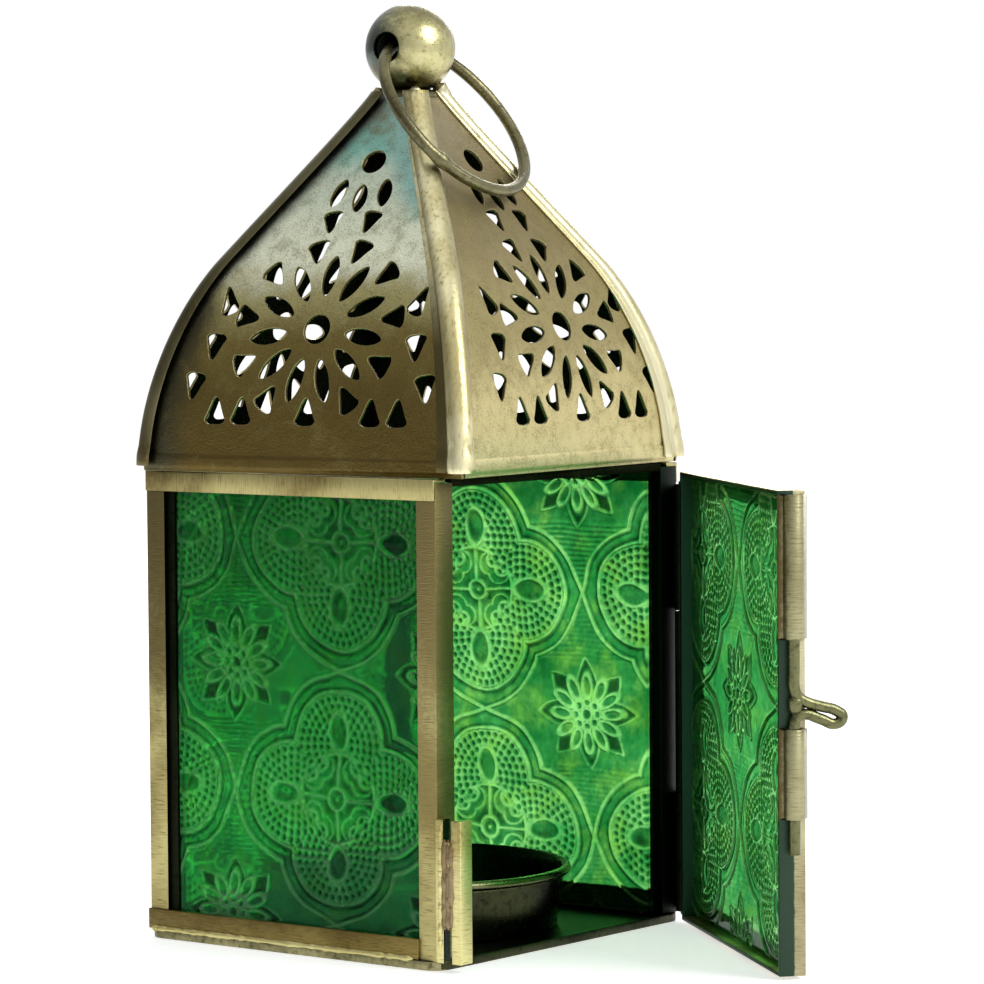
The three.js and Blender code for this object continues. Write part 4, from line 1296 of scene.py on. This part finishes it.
# %% Turn the ball
BALL_Z = 0.139964
BALL_RADIUS, BORE, BALL_WALL = 7.1, 2.2, 0.7
edge_angle = math.asin((BORE + 0.25) / BALL_RADIUS)
arc = [
    (BALL_RADIUS * math.sin(angle), BALL_RADIUS * math.cos(angle))
    for angle in np.linspace(edge_angle, math.pi - edge_angle, 48)
]
lip_out = BALL_RADIUS * math.cos(edge_angle)
inner = BALL_RADIUS - BALL_WALL
inner_angle = math.asin(BORE / inner)
inner_arc = [
    (inner * math.sin(angle), inner * math.cos(angle))
    for angle in np.linspace(math.pi - inner_angle, inner_angle, 24)
]
lip = [(BORE + 0.08, -lip_out + 0.02), (BORE, -lip_out + 0.22)]
ball_profile = arc + lip + inner_arc + [(BORE, lip_out - 0.22), (BORE + 0.08, lip_out - 0.02)]
ball = turned("ball", ball_profile, True, 72)
middles, ways = faces(ball)
# Faces within the outer surface, the bore and the inner wall, get painted shade.
mark(ball, "inside", (np.linalg.norm(middles, axis=1) < BALL_RADIUS - 0.03).astype(float))
on_side = Matrix.Rotation(math.pi / 2, 4, "Y")
ball.data.transform(
    Matrix.Translation((0, 0, BALL_Z)) @ Matrix.Rotation(ROOF_TURN, 4, "Z") @ on_side
)
dress(ball, "lantern", "brass_wire", ball_metal, "ball_finial")

# %% Turn the cup
cup_low, cup_high = box_of("tealight_cup")
cup_base, cup_rim = cup_low[2], cup_high[2]
cup_middle = (cup_low + cup_high) / 2
ROLL = 0.75
RIM_OUT = 24.6
roll = [
    (RIM_OUT - ROLL + ROLL * math.cos(angle), cup_rim - ROLL + ROLL * math.sin(angle))
    for angle in np.linspace(-0.35 * math.pi, 0.9 * math.pi, 14)
]
cup_profile = [
    (0, cup_base), (21.9, cup_base), (22.2, cup_base + 0.15), (22.35, cup_base + 0.5),
    (22.9, cup_base + 4), (23.55, cup_rim - 1.6), *roll, (23.05, cup_rim - 1.7),
    (22.3, cup_base + 4), (21.85, cup_base + 0.9), (21.6, cup_base + 0.6), (0, cup_base + 0.5),
]
cup = turned("cup", cup_profile, False, 96)
middles, ways = faces(cup)
# The inner wall and floor of the cup get painted shade.
in_cup = ((middles * ways)[:, :2].sum(1) < -2) | ((ways[:, 2] > 0.5) & (middles[:, 2] < 3))
mark(cup, "inside", in_cup.astype(float))
cup.data.transform(Matrix.Translation((cup_middle[0] * MM, cup_middle[1] * MM, 0)))
# A paler band just under the rim is a painted highlight.
cup_metal = brass(
    "cup_metal", (0.07, 0.07, 0.035), (0.02, 0.024, 0.012), (0.012, 0.01, 0.006), rough=0.2,
    painted_tone=PAINTED_SHADE, relief=0.03,
    shades=[((0, 0, 1), cup_rim - 1.9, cup_rim - 1.4, (0.16, 0.17, 0.08))],
)
dress(cup, "lantern", "dark_brass", cup_metal, "tealight_cup")
print("ball and cup turned")

# %% [markdown]
# ## The ring
# The ring is a wire bent round and soldered shut. A torus starts it. It is then made slightly
# uneven, and the solder is a swelling of the wire where the photograph shows it.

# %% Bend the ring
RING_RADIUS, RING_WIRE, RING_SLACK = 14.6, 0.95, 0.8
RING_LEAN = math.radians(52.676)
JOINT_AT = math.radians(-143)
deselect()
bpy.ops.mesh.primitive_torus_add(
    major_radius=RING_RADIUS * MM, minor_radius=RING_WIRE * MM, major_segments=144,
    minor_segments=20,
)
ring = named("ring")
places = corners(ring)
around = np.arctan2(places[:, 1], places[:, 0])
spine = np.stack([np.cos(around), np.sin(around), 0 * around], 1) * RING_RADIUS
apart = (around - JOINT_AT + math.pi) % (2 * math.pi) - math.pi
swell = 1 + 0.3 * np.exp(-(apart / 0.075) ** 2) - 0.02 * np.cos(5 * around)
places = spine + (places - spine) * swell[:, None]
places[:, 1] -= RING_RADIUS - RING_SLACK
set_corners(ring, places)
ring.data.transform(
    Matrix.Translation((0, 0, BALL_Z)) @ Matrix.Rotation(ROOF_TURN, 4, "Z")
    @ Matrix.Rotation(RING_LEAN, 4, "X")
)
smooth(ring, 60)
dress(ring, "ring", "brass_wire", wire_metal, "carrying_ring")

# %% [markdown]
# ## The bolt
# One wire, bent to a hairpin handle between its two sleeves. A Bezier curve with a round bevel
# is the quickest wire in Blender. It is converted to a mesh so that it can be checked and
# exported like any other piece.

# %% Bend a wire along points
def wire(name, points, radius, swelling=None, sides=8):
    """A round wire through points in millimetres; swelling gives each point its thickness."""
    deselect()
    bpy.ops.curve.primitive_bezier_curve_add()
    piece = named(name)
    spline = piece.data.splines[0]
    spline.bezier_points.add(len(points) - 2)
    for index, (point, place) in enumerate(zip(spline.bezier_points, points)):
        point.co = Vector(place) * MM
        point.handle_left_type = point.handle_right_type = "AUTO"
        point.radius = swelling[index] if swelling else 1
    piece.data.dimensions = "3D"
    piece.data.resolution_u = 6
    piece.data.bevel_depth = radius * MM
    piece.data.bevel_resolution = sides
    piece.data.use_fill_caps = True
    piece.matrix_world = Matrix.Identity(4)
    work_on(piece)
    bpy.ops.object.convert(target="MESH")
    piece = bpy.context.object
    in_edit_mode(
        piece,
        lambda: bpy.ops.mesh.remove_doubles(threshold=1e-6),
        lambda: bpy.ops.mesh.normals_make_consistent(inside=False),
    )
    smooth(piece, 60)
    return piece


BOLT_ALONG, BOLT_IN = 60.0, -1.35
HANDLE_ROOT, REACH, DROOP, SPREAD = 41.0, 6.4, 2.0, 0.95


def on_door(along, inward, height):
    """A place on the door: away from the hinge, towards the inside, and up."""
    return DOOR_HINGE + along * door_along + inward * door_inward + np.array([0, 0, height])


def bolt_point(reach, height):
    return on_door(BOLT_ALONG, BOLT_IN - reach, height)


upper, lower = HANDLE_ROOT + SPREAD, HANDLE_ROOT - SPREAD
route = [bolt_point(0, z) for z in (66, 60, 52, 46, upper + 1.6)]
route += [bolt_point(0.45, upper + 0.35), bolt_point(1.6, upper - 0.5)]
route += [bolt_point(4, upper - 1.27), bolt_point(REACH, upper - DROOP)]
route += [bolt_point(REACH + SPREAD, HANDLE_ROOT - DROOP)]
route += [bolt_point(REACH, lower - DROOP), bolt_point(4, lower - 1.27)]
route += [bolt_point(1.6, lower - 0.5), bolt_point(0.45, lower - 0.9)]
route += [bolt_point(0, z) for z in (lower - 2.2, 34, 28, 22, 18.8)]
bolt = wire("bolt", route, 0.85)
bolt_metal = brass(
    "bolt_metal", (0.17, 0.17, 0.08), (0.08, 0.085, 0.04), (0.03, 0.028, 0.015), rough=0.24
)
dress(bolt, "bolt", "brass_wire", bolt_metal, "latch_bolt")

# %% [markdown]
# ## Solder
# Solder holds the lantern together and shows as dull, lumpy metal: the fill between the cheeks
# of the keeper, a collar under the ball and a blob at the handle. The bead along the tray is made
# bright, a painted highlight on the tray's rim. Each is a wire with an uneven thickness, which is
# just how a run of solder looks.

# %% Run the solder
wobble = np.random.default_rng(7)


def solder_run(name, start, end, radius, count, body, uneven=0.35, finish=solder_metal):
    """A lumpy bead of solder between two places."""
    shares = np.linspace(0, 1, count)
    start, end = np.array(start), np.array(end)
    points = [start + (end - start) * share for share in shares]
    sizes = [1 + uneven * wobble.uniform(-1, 1) for _ in shares]
    sizes[0] = sizes[-1] = 0.35
    piece = wire(name, points, radius, sizes, sides=4)
    return dress(piece, body, "brass_strip", finish)


TRAY_BEAD_IN, TRAY_BEAD_UP = 0.12, 1.5
rail_low, rail_high = box_of("bottom_rail_left")
# This bead is solder made bright as a painted highlight along the rim of the tray.
solder_run(
    "solder_highlight_tray_left", (rail_low[0] + TRAY_BEAD_IN, rail_low[1] + 1, TRAY_BEAD_UP),
    (rail_low[0] + TRAY_BEAD_IN, rail_high[1] - 0.5, TRAY_BEAD_UP), 0.5, 60, "lantern", 0.22,
    keeper_strip,
)
solder_run(
    "solder_handle", bolt_point(0.2, HANDLE_ROOT + 1.5), bolt_point(0.2, HANDLE_ROOT - 1.7),
    1.05, 5, "bolt", 0.1, bolt_metal,
)
keeper_low, keeper_high = box_of("latch_keeper")
slot_low, slot_high = keeper_low[2] + 5.1, keeper_high[2] - 2.9
KEEPER_FILL_ROWS = (-30.65, -31.3, -31.95)
for index, across in enumerate(KEEPER_FILL_ROWS):
    x = keeper_low[0] + (0.25 if index == 1 else 0.12)
    solder_run(
        f"solder_keeper_{index}", (x, across, slot_low), (x + 0.1, across, slot_high), 0.48, 15,
        "lantern", 0.3, keeper_solder,
    )
solder_run(
    "solder_keeper_cheek", (keeper_low[0] + 0.05, -29.9, slot_low - 3),
    (keeper_low[0], -30.1, keeper_high[2] - 0.7), 0.4, 19, "lantern", 0.35, keeper_strip,
)
for index, (start, end, size) in enumerate((
    ((2.3, -3.1, 134.3), (4.2, -4.5, 131.7), 1.2), ((-3.0, -3.4, 133.7), (-4.2, -4.3, 132), 0.9),
    ((-3.2, 3.0, 133.6), (-4.3, 4.2, 132), 0.9),
)):
    solder_run(f"solder_ball_{index}", start, end, size, 5, "lantern", 0.25)
collar_profile = [(0, 131.9), (3.6, 131.9), (4.5, 132.3), (4.3, 133), (3.4, 133.5), (0, 133.9)]
collar = turned("solder_collar", collar_profile, False, 40)
dress(collar, "lantern", "dark_brass", wire_metal)

# %% [markdown]
# Behind the short end of the left pane the gap lies in deep shadow, and a narrow dark strip
# stands there as painted shade. Waves that depend on the place alone make it uneven, so that
# every run gives the same strip, in whatever order its corners come.

# %% Fill the corner behind the left pane
PAINTED_SHADOW_IN, PAINTED_SHADOW_END = -28.5, 28.0
pane_low, pane_high = box_of("glass_left")
deselect()
bpy.ops.mesh.primitive_plane_add(size=1)
painted_shadow = named("painted_shadow_back_left")
set_corners(painted_shadow, [
    (pane_low[0] + 0.1, pane_high[1] + 0.15, pane_low[2]),
    (PAINTED_SHADOW_IN, pane_high[1] + 0.5, pane_low[2]),
    (pane_low[0] + 0.1, PAINTED_SHADOW_END, pane_low[2]), (PAINTED_SHADOW_IN, PAINTED_SHADOW_END, pane_low[2]),
])


def fill_up():
    bpy.ops.mesh.extrude_region_move(
        TRANSFORM_OT_translate={"value": (0, 0, (pane_high[2] - pane_low[2]) * MM)}
    )
    bpy.ops.mesh.select_all(action="SELECT")
    bpy.ops.mesh.normals_make_consistent(inside=False)
    bpy.ops.mesh.subdivide(number_cuts=4)


in_edit_mode(painted_shadow, fill_up)
PAINTED_SHADOW_UNEVEN = 0.08
painted_shadow_waves = np.array([(2.1, 1.3, 0.7), (1.7, 2.9, 1.1), (0.9, 1.9, 2.3)])
places = corners(painted_shadow)
set_corners(painted_shadow, places + PAINTED_SHADOW_UNEVEN * np.sin(places @ painted_shadow_waves))
smooth(painted_shadow, 60)
dress(painted_shadow, "lantern", "dark_brass", painted_shade_metal)
